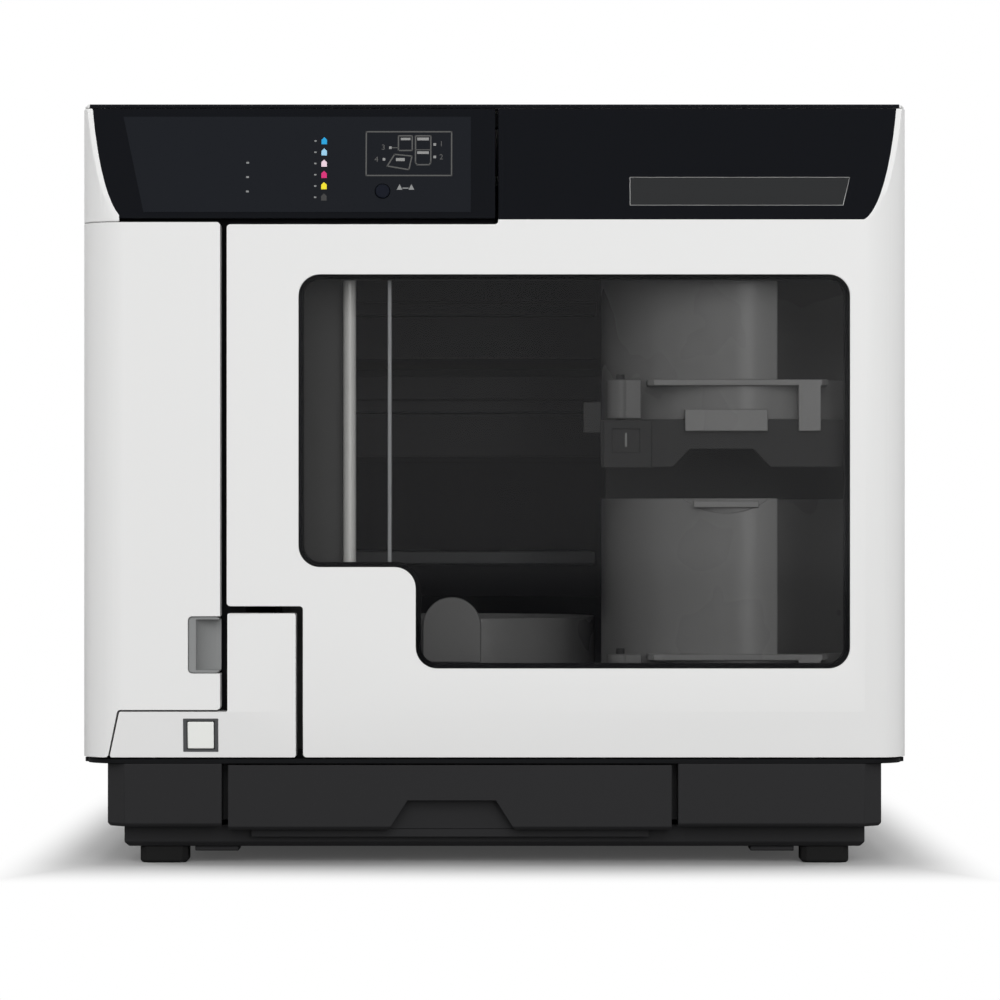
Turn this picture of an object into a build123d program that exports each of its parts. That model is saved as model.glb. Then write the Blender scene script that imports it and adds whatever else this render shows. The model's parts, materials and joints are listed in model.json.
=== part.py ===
"""Desktop disc label printer: a white case with two hinged front covers, a black tilted band,
disc bins, a pick arm on a steel shaft, two disc drives, a printer and a drawer.

Frame: X to the right, the front faces -Y, Z up. The origin is at the middle of the footprint,
on the surface that the rubber feet stand on. All lengths are millimetres.
"""

import os
from math import atan2, cos, degrees, hypot, radians, sin, tan

from build123d import *

# ---------------------------------------------------------------- driving dimensions
WIDTH = 377.0
DEPTH = 465.0
HEIGHT = 348.0
WALL = 2.5
FRONT_CORNER = 20.0
REAR_CORNER = 8.0
ROOF = 1.6
ROOF_INSET = 0.5
ROOF_FLANGE = 6.0
FIT = 0.3  # general clearance between neighbours
RUNNING_FIT = 0.05  # radial clearance of a shaft in its bore

# feet, pan, plinth and deck
FOOT_HEIGHT = 7.8
FOOT_SIZE = 22.0
FOOT_FROM_SIDE = 36.5
FOOT_FROM_END = 32.5
PAN_HEIGHT = 10.0
PAN_INSET = 18.5
PAN_FLOOR = 2.0
BOSS_SIZE = 20.0
BOSS_HEIGHT = 2.3
PLINTH_HEIGHT = 28.8
PLINTH_INSET = 11.5
PLINTH_SETBACK = 2.0
PLINTH_FACET = 8.2
PLINTH_CHAMFER = 1.4
DECK = 2.0
DECK_INSET = 2.0
CASE_GAP = 0.8

# tilted band at the top and chin at the bottom of the front
BAND_HEIGHT = 54.0
BAND_TILT = 12.1
BAND_SKIN = 1.2
BAND_MARGIN = 2.5
CHIN_HEIGHT = 20.9
CHIN_TILT = 6.6

# front covers
COVER_DEPTH = 28.0
COVER_RIM = 14.5
COVER_SEAM = 2.0
COVER_CORNER = 1.6
TOP_GAP = 0.4
HINGE_FROM_SIDE = 3.3
HINGE_FROM_FRONT = 25.0
HINGE_RADIUS = 3.2
HINGE_PIN_RADIUS = 1.5
HINGE_LUG = 12.0
TONGUE = 1.6
TONGUE_GAP = 0.6

# disc cover
INK_COVER_WIDTH = 66.5
DOOR_STEP_BELOW = 1.6
NOTCH_WIDTH = 34.7
NOTCH_HEIGHT = 69.0
PANEL_GAP = 3.3
INK_SEAM = 3.0
SPLIT_X = 0.3
SPLIT_GAP = 1.4

# window in the disc cover
WINDOW_FROM_LEFT = 32.7
WINDOW_FROM_SIDE = 26.5
WINDOW_ABOVE_CASE = 40.6
WINDOW_BELOW_BAND = 24.4
WINDOW_STEP_WIDTH = 53.4
WINDOW_STEP_HEIGHT = 46.2
WINDOW_CORNER = 9.75
PANE = 1.5
PANE_SETBACK = 1.2
PANE_FLANGE = 4.0
WINDOW_FRAME_WIDTH = 9.0
WINDOW_FRAME_LAP = 2.3
WINDOW_FRAME_DEPTH = 8.5

# status lamp window in the band
LAMP_FROM_SIDE = 76.5
LAMP_WIDTH = 100.0
LAMP_TALL = 12.6
LAMP_ABOVE = 7.4
LAMP_SLANT = 3.2

# ink cover and its grip
INK_COVER_BELOW = 0.6
INK_CHIN_SEAM = 0.8
GRIP_WIDTH = 14.7
GRIP_TALL = 26.1
GRIP_ABOVE = 38.3
GRIP_CORNER = 2.0
GRIP_DEPTH = 13.0
GRIP_SCOOP = 13.0
GRIP_SCOOP_AHEAD = 2.0
GRIP_LIP = 1.5

# lower front panel and power key
CHIN_INSET_TOP = 17.5
CHIN_INSET_BOTTOM = 12.9
KEY_FROM_SIDE = 54.6
KEY_ABOVE = 10.2
KEY_WIDTH = 12.0
KEY_TALL = 12.3
KEY_PROUD = 0.5
KEY_DEPTH = 12.0
BEZEL_WIDTH = 16.0
BEZEL_TALL = 15.2
BEZEL_PROUD = 0.3
BEZEL_DEPTH = 6.0
KEY_CLEAR = 0.35

# control panel
CONTROL_BOTTOM = 1.2
CONTROL_SHELF = 2.0
MEMBRANE = 0.2
MEMBRANE_INSET_TOP = 18.7
MEMBRANE_INSET_BOTTOM = 28.5
MEMBRANE_RIGHT = -10.8
MEMBRANE_BOTTOM = 4.0
MEMBRANE_TOP = 48.2
ROUND_KEY_X = -51.1
ROUND_KEY_ABOVE = 13.6
ROUND_KEY_RADIUS = 3.3
ROUND_KEY_PROUD = 0.7
ROUND_KEY_DEPTH = 7.0

# front frame behind the covers
FRAME_FROM_FRONT = 16.5
FRAME_FROM_SIDE = 8.3
FRAME_BELOW_ROOF = 2.4
BAY_FROM_DOOR = 8.0
BAY_FROM_SIDE = 11.5
BAY_SILL = 3.4
BAY_BELOW_ROOF = 8.4
INK_BAY_FROM_DOOR = 7.0
INK_BAY_ABOVE = 4.9
INK_BAY_BELOW = 6.4
SHEET = 1.6

# disc bins
DISC_RADIUS = 60.0
BIN_WALL = 2.5
BIN_PLAY = 1.0
BIN_FLOOR = 2.5
BIN_GAP = 36.4
BIN_HEADROOM = 6.0
BIN_ABOVE_DECK = 29.0
BIN_FROM_SIDE = 74.5
BIN_FROM_FRONT = 86.5
BIN_SLOT_FROM = 15.0
BIN_SLOT_TO = 75.0
COLLAR = 18.3
LIP = 2.8
LIP_HALF = 41.5
LIP_SHIFT = -2.0
LIP_OUT = 3.5
TAB_HALF = 19.0
TAB_SHIFT = -7.4
TAB_DROP = 5.5
HOOK_OFFSET = 30.9
HOOK_HALF = 5.1
RIM_DIP = 6.8
RIM_DIP_HALF = 20.0
RIM_BAR_HALF = 15.0
RIM_BAR = 3.0
RIM_CUT = 1.2

# holder of the two bins
HOLDER_SHEET = 3.5
HOLDER_REACH_LEFT = 65.0
HOLDER_REACH_RIGHT = 62.4
SPINE_INSET = 5.0
APRON_DROP = 22.0
APRON = 2.5
ARCH_HALF_TOP = 14.6
ARCH_HALF_BOTTOM = 22.4
ARCH_SHIFT = -9.5
ARCH_RISE = 8.4
PLATE_WIDTH = 21.9
PLATE_OUT = 2.5
PLATE_RECESS = 1.0
SENSOR = 8.0

# bin lock levers
LEVER_FROM_BIN = 56.0
LEVER_FROM_FRONT = 27.5
LEVER_RADIUS = 6.5
LEVER_REACH = 9.5
LEVER_PIN_RADIUS = 2.0

# lower left bin
DEEP_BIN_HEIGHT = 61.0
TONGUE_HALF = 14.0
TONGUE_SHIFT = -7.3
TONGUE_TOP = 10.4
TONGUE_LOW = 10.6

# pick arm
SHAFT_FROM_SIDE = 121.5
SHAFT_FROM_FRONT = 33.5
SHAFT_RADIUS = 3.0
DEEP_BIN_ANGLE = 73.5
HUB_RADIUS = 8.0
CARRIAGE_BELOW_HEAD = 36.0
CARRIAGE_HEIGHT = 12.0
ARM_HEIGHT = 11.6
ARM_HALF_WIDTH = 5.0
ARM_THICKNESS = 8.0
HEAD_RADIUS = 16.0
HEAD_HEIGHT = 18.0
SPINDLE_RADIUS = 7.0
SPINDLE_HEIGHT = 7.0
CLAW = 1.6

# column, guide strip and belt
COLUMN_WIDTH = 29.5
COLUMN_FROM_SHAFT = 3.5
COLUMN_BEHIND_SHAFT = 9.5
COLUMN_DEPTH = 24.5
COLUMN_BELOW_BAY = 2.0
COLUMN_WALL = 2.0
COLUMN_ROUND = 10.0
COLUMN_HEAD = 5.0
SLOT_BEHIND_SHAFT = 13.0
SLOT_DEPTH = 10.0
STRIP_FROM_SHAFT = 18.7
STRIP_THICKNESS = 1.8
STRIP_BEFORE_SHAFT = 8.0
STRIP_DEPTH = 5.0
PULLEY_FROM_SHAFT = 19.0
PULLEY_RADIUS = 5.0
PULLEY_ABOVE_DECK = 23.4
PULLEY_BELOW_HEAD = 18.0
BELT_WIDTH = 6.0
BELT = 1.0
BELT_BEHIND_SHAFT = 18.0
AXLE_RADIUS = 1.5
MOTOR_RADIUS = 16.0
MOTOR_LENGTH = 32.0

# drives and printer
DRIVE_WIDTH = 148.0
DRIVE_FROM_REAR = 7.5
DRIVE_HEIGHT = 41.3
DRIVE_BEHIND_STATION = 73.166
DRIVE_WALL = 1.5
DRIVE_ABOVE_DECK = 141.4
DRIVE_PITCH = 50.0
TRAY_TRAVEL = 138.0
TRAY_WIDTH = 130.0
TRAY_SPARE = 36.0
TRAY_HEIGHT = 6.0
TRAY_FACE = 2.0
PRINTER_REACH_LEFT = 99.565
PRINTER_REACH_RIGHT = 76.435
PRINTER_ABOVE_DECK = 69.4
PRINTER_BELOW_DRIVE = 3.0
PRINTER_TRAY_UP = 17.0
RAIL_RADIUS = 4.0
RAIL_BEHIND_FRONT = 40.0
RAIL_UP = 50.0
PRINT_CARRIAGE_WIDTH = 36.0
PRINT_CARRIAGE_DEPTH = 42.0
PRINT_CARRIAGE_HEIGHT = 24.0

# ink rack
RACK_FROM_SIDE = 4.5
RACK_FROM_DOOR = 9.0
RACK_FROM_FRONT = 36.5
RACK_DEPTH = 104.0
RACK_BELOW_TOP = 1.0
RACK_WALL = 2.0
CARTRIDGE_PLAY = 1.5
CARTRIDGES = 6

# drawer
DRAWER_LEFT = -121.5
DRAWER_RIGHT = 80.8
DRAWER_GAP = 2.9
DRAWER_LOW = 16.4
DRAWER_FACE = 12.0
DRAWER_TOP_GAP = 0.7
RECESS_X = -19.5
RECESS_HALF_TOP = 20.0
RECESS_HALF_BOTTOM = 29.4
RECESS_TALL = 13.4
RECESS_DEPTH = 9.0
SKID_HALF = 91.0
SKID_HEIGHT = 3.8
TRAY_FLOOR_Z = 21.0
TRAY_TOP_Z = 42.0
TRAY_SIDE = 9.0
DRAWER_RAIL = 3.0

# electronics
ELECTRONICS_FROM_STATION = 79.435
ELECTRONICS_BEHIND_BIN = 70.0
SWING_ROOM = 5.0
REAR_PANEL_FROM_SIDE = 18.5
FAN_FROM_SIDE = 70.5
FAN_FROM_TOP = 86.0
FAN_SIZE = 80.0
FAN_DEPTH = 25.0
FAN_BORE = 38.0
FAN_HUB = 15.0
FAN_BLADES = 7
GRILLE_SLOTS = 7
GRILLE_SLOT = 5.0
BOARD = 1.6
BOARD_LIFT = 8.0
BOARD_STUD = 6.0
BOARD_FROM_WALL = 8.5
BOARD_CHIP = 30.0
BOARD_CHIP_BEHIND = 32.0
BOARD_CHIP_HEIGHT = 4.4
BOARD_SINK = 60.0
BOARD_SINK_HEIGHT = 8.4
SUPPLY_GAP = 12.0
SUPPLY_DEPTH = 98.0
SUPPLY_HEIGHT = 62.0
SOCKET_Z = 77.0
SOCKET_WIDTH = 28.0
SOCKET_HEIGHT = 22.0
SOCKET_WALL = 3.0
PIN_PITCH = 7.0
PIN_WIDTH = 2.0
PIN_HEIGHT = 4.0
PORT_FROM_FAN = 39.5
PORT_Z = 76.0
PORT_WIDTH = 13.0
PORT_HEIGHT = 12.0
PORT_WALL = 1.5

# ---------------------------------------------------------------- derived places
SIDE = WIDTH / 2
FRONT = -DEPTH / 2
REAR = DEPTH / 2
PLINTH_LOW = FOOT_HEIGHT + PAN_HEIGHT
PLINTH_TOP = PLINTH_LOW + PLINTH_HEIGHT
DECK_TOP = PLINTH_TOP + DECK
CASE_BOTTOM = DECK_TOP + CASE_GAP
ROOF_BOTTOM = HEIGHT - ROOF
COVER_TOP = ROOF_BOTTOM - TOP_GAP
BAND_FOOT = HEIGHT - BAND_HEIGHT
CHIN_CREASE = CASE_BOTTOM + CHIN_HEIGHT
COVER_REAR = FRONT + COVER_DEPTH
CASE_EDGE = COVER_REAR + COVER_SEAM
HINGE_X = SIDE - HINGE_FROM_SIDE
HINGE_Y = FRONT + HINGE_FROM_FRONT
FOOT_SPACING_X = WIDTH - FOOT_FROM_SIDE * 2
FOOT_SPACING_Y = DEPTH - FOOT_FROM_END * 2
DOOR_LEFT = -SIDE + INK_COVER_WIDTH
NOTCH_RIGHT = DOOR_LEFT + NOTCH_WIDTH
CHIN_LEFT_TOP = -SIDE + CHIN_INSET_TOP
CHIN_LEFT_BOTTOM = -SIDE + CHIN_INSET_BOTTOM
KEY_X = -SIDE + KEY_FROM_SIDE
WINDOW_LEFT = DOOR_LEFT + WINDOW_FROM_LEFT
WINDOW_RIGHT = SIDE - WINDOW_FROM_SIDE
WINDOW_BOTTOM = CASE_BOTTOM + WINDOW_ABOVE_CASE
WINDOW_TOP = BAND_FOOT - WINDOW_BELOW_BAND
LAMP_X = SIDE - LAMP_FROM_SIDE
MEMBRANE_LEFT_TOP = -SIDE + MEMBRANE_INSET_TOP
MEMBRANE_LEFT_BOTTOM = -SIDE + MEMBRANE_INSET_BOTTOM
DOOR_STEP = BAND_FOOT - DOOR_STEP_BELOW
NOTCH_TOP = CASE_BOTTOM + NOTCH_HEIGHT
INK_RIGHT = DOOR_LEFT - INK_SEAM
INK_TOP = BAND_FOOT - INK_COVER_BELOW
INK_BOTTOM = CHIN_CREASE + INK_CHIN_SEAM
FRAME_FRONT = FRONT + FRAME_FROM_FRONT
FRAME_HALF = SIDE - FRAME_FROM_SIDE
FRAME_TOP = ROOF_BOTTOM - FRAME_BELOW_ROOF
BAY_LEFT = DOOR_LEFT + BAY_FROM_DOOR
BAY_RIGHT = SIDE - BAY_FROM_SIDE
BAY_BOTTOM = DECK_TOP + BAY_SILL
BAY_TOP = ROOF_BOTTOM - BAY_BELOW_ROOF
INK_BAY_LEFT = -BAY_RIGHT
INK_BAY_RIGHT = DOOR_LEFT - INK_BAY_FROM_DOOR
INK_BAY_BOTTOM = INK_BOTTOM + INK_BAY_ABOVE
INK_BAY_TOP = INK_TOP - INK_BAY_BELOW
CONTROL_LOW = BAND_FOOT + CONTROL_BOTTOM
FAR = WIDTH + DEPTH + HEIGHT

SHAFT_X = -SIDE + SHAFT_FROM_SIDE
SHAFT_Y = FRONT + SHAFT_FROM_FRONT
COLUMN_RIGHT = SHAFT_X - COLUMN_FROM_SHAFT
COLUMN_LEFT = COLUMN_RIGHT - COLUMN_WIDTH
COLUMN_FRONT = SHAFT_Y + COLUMN_BEHIND_SHAFT
COLUMN_REAR = COLUMN_FRONT + COLUMN_DEPTH
COLUMN_TOP = BAY_TOP - COLUMN_BELOW_BAY
SLOT_FRONT = SHAFT_Y + SLOT_BEHIND_SHAFT
SLOT_REAR = SLOT_FRONT + SLOT_DEPTH
STRIP_X = SHAFT_X + STRIP_FROM_SHAFT
STRIP_FRONT = SHAFT_Y - STRIP_BEFORE_SHAFT
STRIP_REAR = STRIP_FRONT + STRIP_DEPTH
PULLEY_X = SHAFT_X - PULLEY_FROM_SHAFT
PULLEY_LOW = DECK_TOP + PULLEY_ABOVE_DECK
PULLEY_HIGH = COLUMN_TOP - PULLEY_BELOW_HEAD
BELT_Y = SHAFT_Y + BELT_BEHIND_SHAFT
CARRIAGE_BASE = COLUMN_TOP - CARRIAGE_BELOW_HEAD

BIN_OUTER = DISC_RADIUS + BIN_PLAY + BIN_WALL
BIN_INNER = DISC_RADIUS + BIN_PLAY
BIN_X = SIDE - BIN_FROM_SIDE
BIN_Y = FRONT + BIN_FROM_FRONT
LOWER_BIN_BASE = DECK_TOP + BIN_ABOVE_DECK
BIN_HEIGHT = (CARRIAGE_BASE - BIN_HEADROOM - BIN_GAP - LOWER_BIN_BASE) / 2
BIN_PITCH = BIN_HEIGHT + BIN_GAP
HOLDER_LEFT = BIN_X - HOLDER_REACH_LEFT
HOLDER_RIGHT = BIN_X + HOLDER_REACH_RIGHT
LEVER_X = BIN_X - LEVER_FROM_BIN
LEVER_Y = FRONT + LEVER_FROM_FRONT
ARM_LENGTH = hypot(BIN_X - SHAFT_X, BIN_Y - SHAFT_Y)
BIN_ANGLE = degrees(atan2(BIN_Y - SHAFT_Y, BIN_X - SHAFT_X))
STATION_X = SHAFT_X + ARM_LENGTH * cos(radians(DEEP_BIN_ANGLE))
STATION_Y = SHAFT_Y + ARM_LENGTH * sin(radians(DEEP_BIN_ANGLE))

DRIVE_LOW = DECK_TOP + DRIVE_ABOVE_DECK
DRIVE_FRONT = STATION_Y + DRIVE_BEHIND_STATION
DRIVE_DEPTH = REAR - DRIVE_FROM_REAR - DRIVE_FRONT
TRAY_LENGTH = DRIVE_DEPTH - TRAY_SPARE
PRINTER_LEFT = STATION_X - PRINTER_REACH_LEFT
PRINTER_RIGHT = STATION_X + PRINTER_REACH_RIGHT
PRINTER_BASE = DECK_TOP + PRINTER_ABOVE_DECK
PRINTER_TOP = DRIVE_LOW - PRINTER_BELOW_DRIVE
PRINTER_TRAY_Z = PRINTER_BASE + PRINTER_TRAY_UP
RAIL_Y = DRIVE_FRONT + RAIL_BEHIND_FRONT
RAIL_Z = PRINTER_BASE + RAIL_UP
RACK_LEFT = -SIDE + RACK_FROM_SIDE
RACK_RIGHT = DOOR_LEFT - RACK_FROM_DOOR
RACK_FRONT = FRONT + RACK_FROM_FRONT
RACK_BASE = INK_BAY_BOTTOM
CARTRIDGE_PITCH = (INK_BAY_TOP - RACK_BELOW_TOP - RACK_BASE) / CARTRIDGES
CARTRIDGE_HEIGHT = CARTRIDGE_PITCH - RACK_WALL - CARTRIDGE_PLAY
ELECTRONICS_X = STATION_X + ELECTRONICS_FROM_STATION
ELECTRONICS_Y = BIN_Y + ELECTRONICS_BEHIND_BIN
SWEEP = ARM_LENGTH + HEAD_RADIUS + SWING_ROOM
REAR_PANEL_HALF = SIDE - REAR_PANEL_FROM_SIDE
FAN_X = SIDE - FAN_FROM_SIDE
FAN_Z = HEIGHT - FAN_FROM_TOP

UP = Vector(0, sin(radians(BAND_TILT)), cos(radians(BAND_TILT)))
BAND_OUT = Vector(0, -cos(radians(BAND_TILT)), sin(radians(BAND_TILT)))
DOWN = Vector(0, sin(radians(CHIN_TILT)), -cos(radians(CHIN_TILT)))
CHIN_OUT = Vector(0, -cos(radians(CHIN_TILT)), -sin(radians(CHIN_TILT)))

PARTS = {}


# ---------------------------------------------------------------- shape helpers
def block(x0, x1, y0, y1, z0, z1):
    """A box between two corners."""
    centre = Pos((x0 + x1) / 2, (y0 + y1) / 2, (z0 + z1) / 2)
    return centre * Box(x1 - x0, y1 - y0, z1 - z0)


def post(x, y, z0, z1, radius):
    """A vertical round bar."""
    return Pos(x, y, (z0 + z1) / 2) * Cylinder(radius, z1 - z0)


def rod(start, direction, length, radius):
    """A round bar from a point along a direction."""
    seat = Plane(origin=start, z_dir=direction).location
    return seat * Pos(0, 0, length / 2) * Cylinder(radius, length)


def polygon(points):
    return make_face(Polyline(*points, close=True))


def front_prism(sketch, y0, y1):
    """A sketch drawn in X and Z, carried along Y."""
    seat = Plane(origin=(0, y0, 0), x_dir=(1, 0, 0), z_dir=(0, -1, 0))
    return extrude(seat * sketch, amount=y1 - y0, dir=(0, 1, 0))


def side_prism(points, x0, x1):
    """A polygon drawn in Y and Z, carried along X."""
    outline = Polyline(*[(x0, y, z) for y, z in points], close=True)
    return extrude(make_face(outline), amount=x1 - x0, dir=(1, 0, 0))


def plan_prism(sketch, z0, z1):
    """A sketch drawn in X and Y, carried up."""
    return extrude(Pos(0, 0, z0) * sketch, amount=z1 - z0)


def plan_outline(inset):
    """The case outline seen from above: large radii in front, small ones behind."""
    half = SIDE - inset
    front = FRONT + inset
    rear = REAR - inset
    outline = polygon([(-half, front), (half, front), (half, rear), (-half, rear)])
    outline = fillet(outline.vertices().group_by(Axis.Y)[0], FRONT_CORNER - inset)
    return fillet(outline.vertices().group_by(Axis.Y)[-1], max(REAR_CORNER - inset, 0.5))


def band_point(depth, along):
    """A point (y, z) on the tilted band, some depth under its face."""
    foot = Vector(0, FRONT, BAND_FOOT) - BAND_OUT * depth
    place = foot + UP * along
    return (place.Y, place.Z)


def band_cutter(inset):
    low = band_point(inset, -HEIGHT / 4)
    high = band_point(inset, HEIGHT / 2)
    ahead = FRONT - COVER_DEPTH * 2
    return side_prism([low, high, (ahead, high[1]), (ahead, low[1])], -FAR, FAR)


def chin_cutter(inset):
    crease = Vector(0, FRONT, CHIN_CREASE) - CHIN_OUT * inset
    low = crease + DOWN * CHIN_CREASE
    high = crease - DOWN * CHIN_CREASE
    ahead = FRONT - COVER_DEPTH * 2
    return side_prism([(low.Y, low.Z), (high.Y, high.Z), (ahead, high.Z), (ahead, low.Z)], -FAR, FAR)


def envelope(inset, z0, z1):
    """The case as one solid, drawn in by an inset on every outer face."""
    return plan_prism(plan_outline(inset), z0, z1) - band_cutter(inset) - chin_cutter(inset)


def band_slab(depth0, depth1, x0, x1, z0, z1):
    """A plate parallel to the tilted band, between two depths under its face."""
    corners = [
        band_point(depth0, -BAND_HEIGHT),
        band_point(depth0, BAND_HEIGHT * 2),
        band_point(depth1, BAND_HEIGHT * 2),
        band_point(depth1, -BAND_HEIGHT),
    ]
    return side_prism(corners, x0, x1) & block(x0, x1, FRONT * 2, 0, z0, z1)


def band_bounds():
    """The room between the white margins at both ends of the band."""
    half = SIDE - BAND_MARGIN
    outline = polygon([(-half, FRONT), (half, FRONT), (half, 0), (-half, 0)])
    outline = fillet(outline.vertices().group_by(Axis.Y)[0], FRONT_CORNER)
    return plan_prism(outline, 0, HEIGHT * 2)


def band_seat(x, above):
    """The place on the band's face at a height above its foot, with Z pointing out of it."""
    y = FRONT + above * tan(radians(BAND_TILT))
    return Plane(origin=(x, y, BAND_FOOT + above), x_dir=(1, 0, 0), z_dir=tuple(BAND_OUT))


def arched(half_width, z0, z1, y0, y1, x):
    """A tongue with a round top."""
    body = block(x - half_width, x + half_width, y0, y1, z0, z1 - half_width)
    return body + rod((x, y0, z1 - half_width), (0, 1, 0), y1 - y0, half_width)


# ---------------------------------------------------------------- base
def make_base():
    half = SIDE - PAN_INSET
    front = FRONT + PAN_INSET
    rear = REAR - PAN_INSET
    pan = block(-half, half, front, rear, FOOT_HEIGHT, PLINTH_LOW)
    pan = chamfer(pan.faces().sort_by(Axis.Z)[0].edges(), PAN_FLOOR)
    pocket = block(
        -half + WALL, half - WALL, front + WALL, rear - WALL, FOOT_HEIGHT + PAN_FLOOR, PLINTH_LOW
    )
    pan -= pocket
    for side in (-1, 1):
        x = side * (FOOT_SPACING_X / 2 - FOOT_SIZE - BOSS_HEIGHT)
        y = -FOOT_SPACING_Y / 2
        boss = Pos(x, y, FOOT_HEIGHT - BOSS_HEIGHT / 2) * Box(BOSS_SIZE, BOSS_SIZE, BOSS_HEIGHT)
        pan += boss
    PARTS["base_pan"] = pan

    feet = []
    for x in (-FOOT_SPACING_X / 2, FOOT_SPACING_X / 2):
        for y in (-FOOT_SPACING_Y / 2, FOOT_SPACING_Y / 2):
            foot = Pos(x, y, FOOT_HEIGHT / 2) * Box(FOOT_SIZE, FOOT_SIZE, FOOT_HEIGHT)
            foot = chamfer(foot.edges().filter_by(Axis.Z), FOOT_SIZE / 8)
            feet.append(chamfer(foot.faces().sort_by(Axis.Z)[0].edges(), BOSS_HEIGHT / 2))
    PARTS["rubber_feet"] = Compound(feet)

    rails = []
    for side in (-1, 1):
        inner = STATION_X + side * (BIN_INNER + TRAY_SIDE + FIT)
        x0, x1 = sorted((inner, inner + side * DRAWER_RAIL))
        y0 = FRONT + PAN_INSET + WALL
        rail = block(x0, x1, y0, STATION_Y + BIN_OUTER + TRAY_SIDE, FOOT_HEIGHT + PAN_FLOOR, TRAY_TOP_Z)
        ledge_x0, ledge_x1 = sorted((inner - side * DRAWER_RAIL * 2, inner))
        ledge = block(
            ledge_x0, ledge_x1, y0, STATION_Y + BIN_OUTER + TRAY_SIDE,
            TRAY_FLOOR_Z - DRAWER_RAIL, TRAY_FLOOR_Z - FIT,
        )
        rails.append(rail + ledge)
    PARTS["drawer_rails"] = Compound(rails)


def make_plinth():
    half = SIDE - PLINTH_INSET
    front = FRONT + PLINTH_SETBACK
    rear = REAR - PLINTH_SETBACK

    def outline(inset):
        facet = PLINTH_FACET - inset * tan(radians(22.5))
        points = [
            (-half + inset + facet, front + inset),
            (half - inset - facet, front + inset),
            (half - inset, front + inset + facet),
            (half - inset, rear - inset),
            (-half + inset, rear - inset),
            (-half + inset, front + inset + facet),
        ]
        return polygon(points)

    ring = plan_prism(outline(0), PLINTH_LOW, PLINTH_TOP)
    ring = chamfer(ring.faces().sort_by(Axis.Z)[0].edges(), PLINTH_CHAMFER)
    ring -= plan_prism(outline(WALL), PLINTH_LOW - 1, PLINTH_TOP + 1)
    base = SIDE - PAN_INSET
    lip = plan_prism(outline(0), PLINTH_LOW, PLINTH_LOW + WALL) - plan_prism(
        outline(PAN_INSET - PLINTH_INSET + WALL * 2), PLINTH_LOW - 1, PLINTH_TOP
    )
    lip = lip & block(-base - WALL, base + WALL, front + WALL, rear - WALL, PLINTH_LOW, PLINTH_TOP)
    depth = front + DRAWER_FACE + FIT
    split_left = DRAWER_LEFT - DRAWER_GAP
    split_right = DRAWER_RIGHT + DRAWER_GAP
    left = ring & block(-FAR, split_left, -FAR, depth, 0, HEIGHT)
    right = ring & block(split_right, FAR, -FAR, depth, 0, HEIGHT)
    left += block(split_left - WALL, split_left, front + WALL / 2, depth, PLINTH_LOW + WALL, PLINTH_TOP)
    right += block(split_right, split_right + WALL, front + WALL / 2, depth, PLINTH_LOW + WALL, PLINTH_TOP)
    stop_rear = depth + WALL
    left += block(split_left - WALL, DRAWER_LEFT + WALL, depth, stop_rear, PLINTH_LOW + WALL, PLINTH_TOP)
    left += block(split_left - WALL, split_left, depth - WALL, stop_rear, PLINTH_LOW + WALL, PLINTH_TOP)
    right += block(DRAWER_RIGHT - WALL, split_right + WALL, depth, stop_rear, PLINTH_LOW + WALL, PLINTH_TOP)
    right += block(split_right, split_right + WALL, depth - WALL, stop_rear, PLINTH_LOW + WALL, PLINTH_TOP)
    PARTS["plinth_front_panels"] = Compound([left.solid(), right.solid()])
    behind = block(-FAR, FAR, depth, FAR, 0, HEIGHT)
    PARTS["plinth_skirt"] = (ring + lip) & behind


def make_deck():
    deck = plan_prism(plan_outline(DECK_INSET), PLINTH_TOP, DECK_TOP)
    for side in (-1, 1):
        deck += post(side * HINGE_X, HINGE_Y, PLINTH_TOP, DECK_TOP, HINGE_RADIUS)
        deck -= post(side * HINGE_X, HINGE_Y, PLINTH_TOP, DECK_TOP, HINGE_PIN_RADIUS)
    deck -= post(STATION_X, STATION_Y, PLINTH_TOP, DECK_TOP, BIN_INNER)
    PARTS["main_deck"] = deck


# ---------------------------------------------------------------- front frame and hinges
def tongue(side, top):
    """A flat ear of the frame that reaches out to a hinge line."""
    x0, x1 = sorted((side * (FRAME_HALF - WALL), side * HINGE_X))
    low = top - TONGUE_GAP - TONGUE
    high = top - TONGUE_GAP
    ear = block(x0, x1, HINGE_Y - HINGE_RADIUS, CASE_EDGE, low, high)
    ear += post(side * HINGE_X, HINGE_Y, low, high, HINGE_RADIUS)
    return ear - post(side * HINGE_X, HINGE_Y, low, high, HINGE_PIN_RADIUS)


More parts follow.
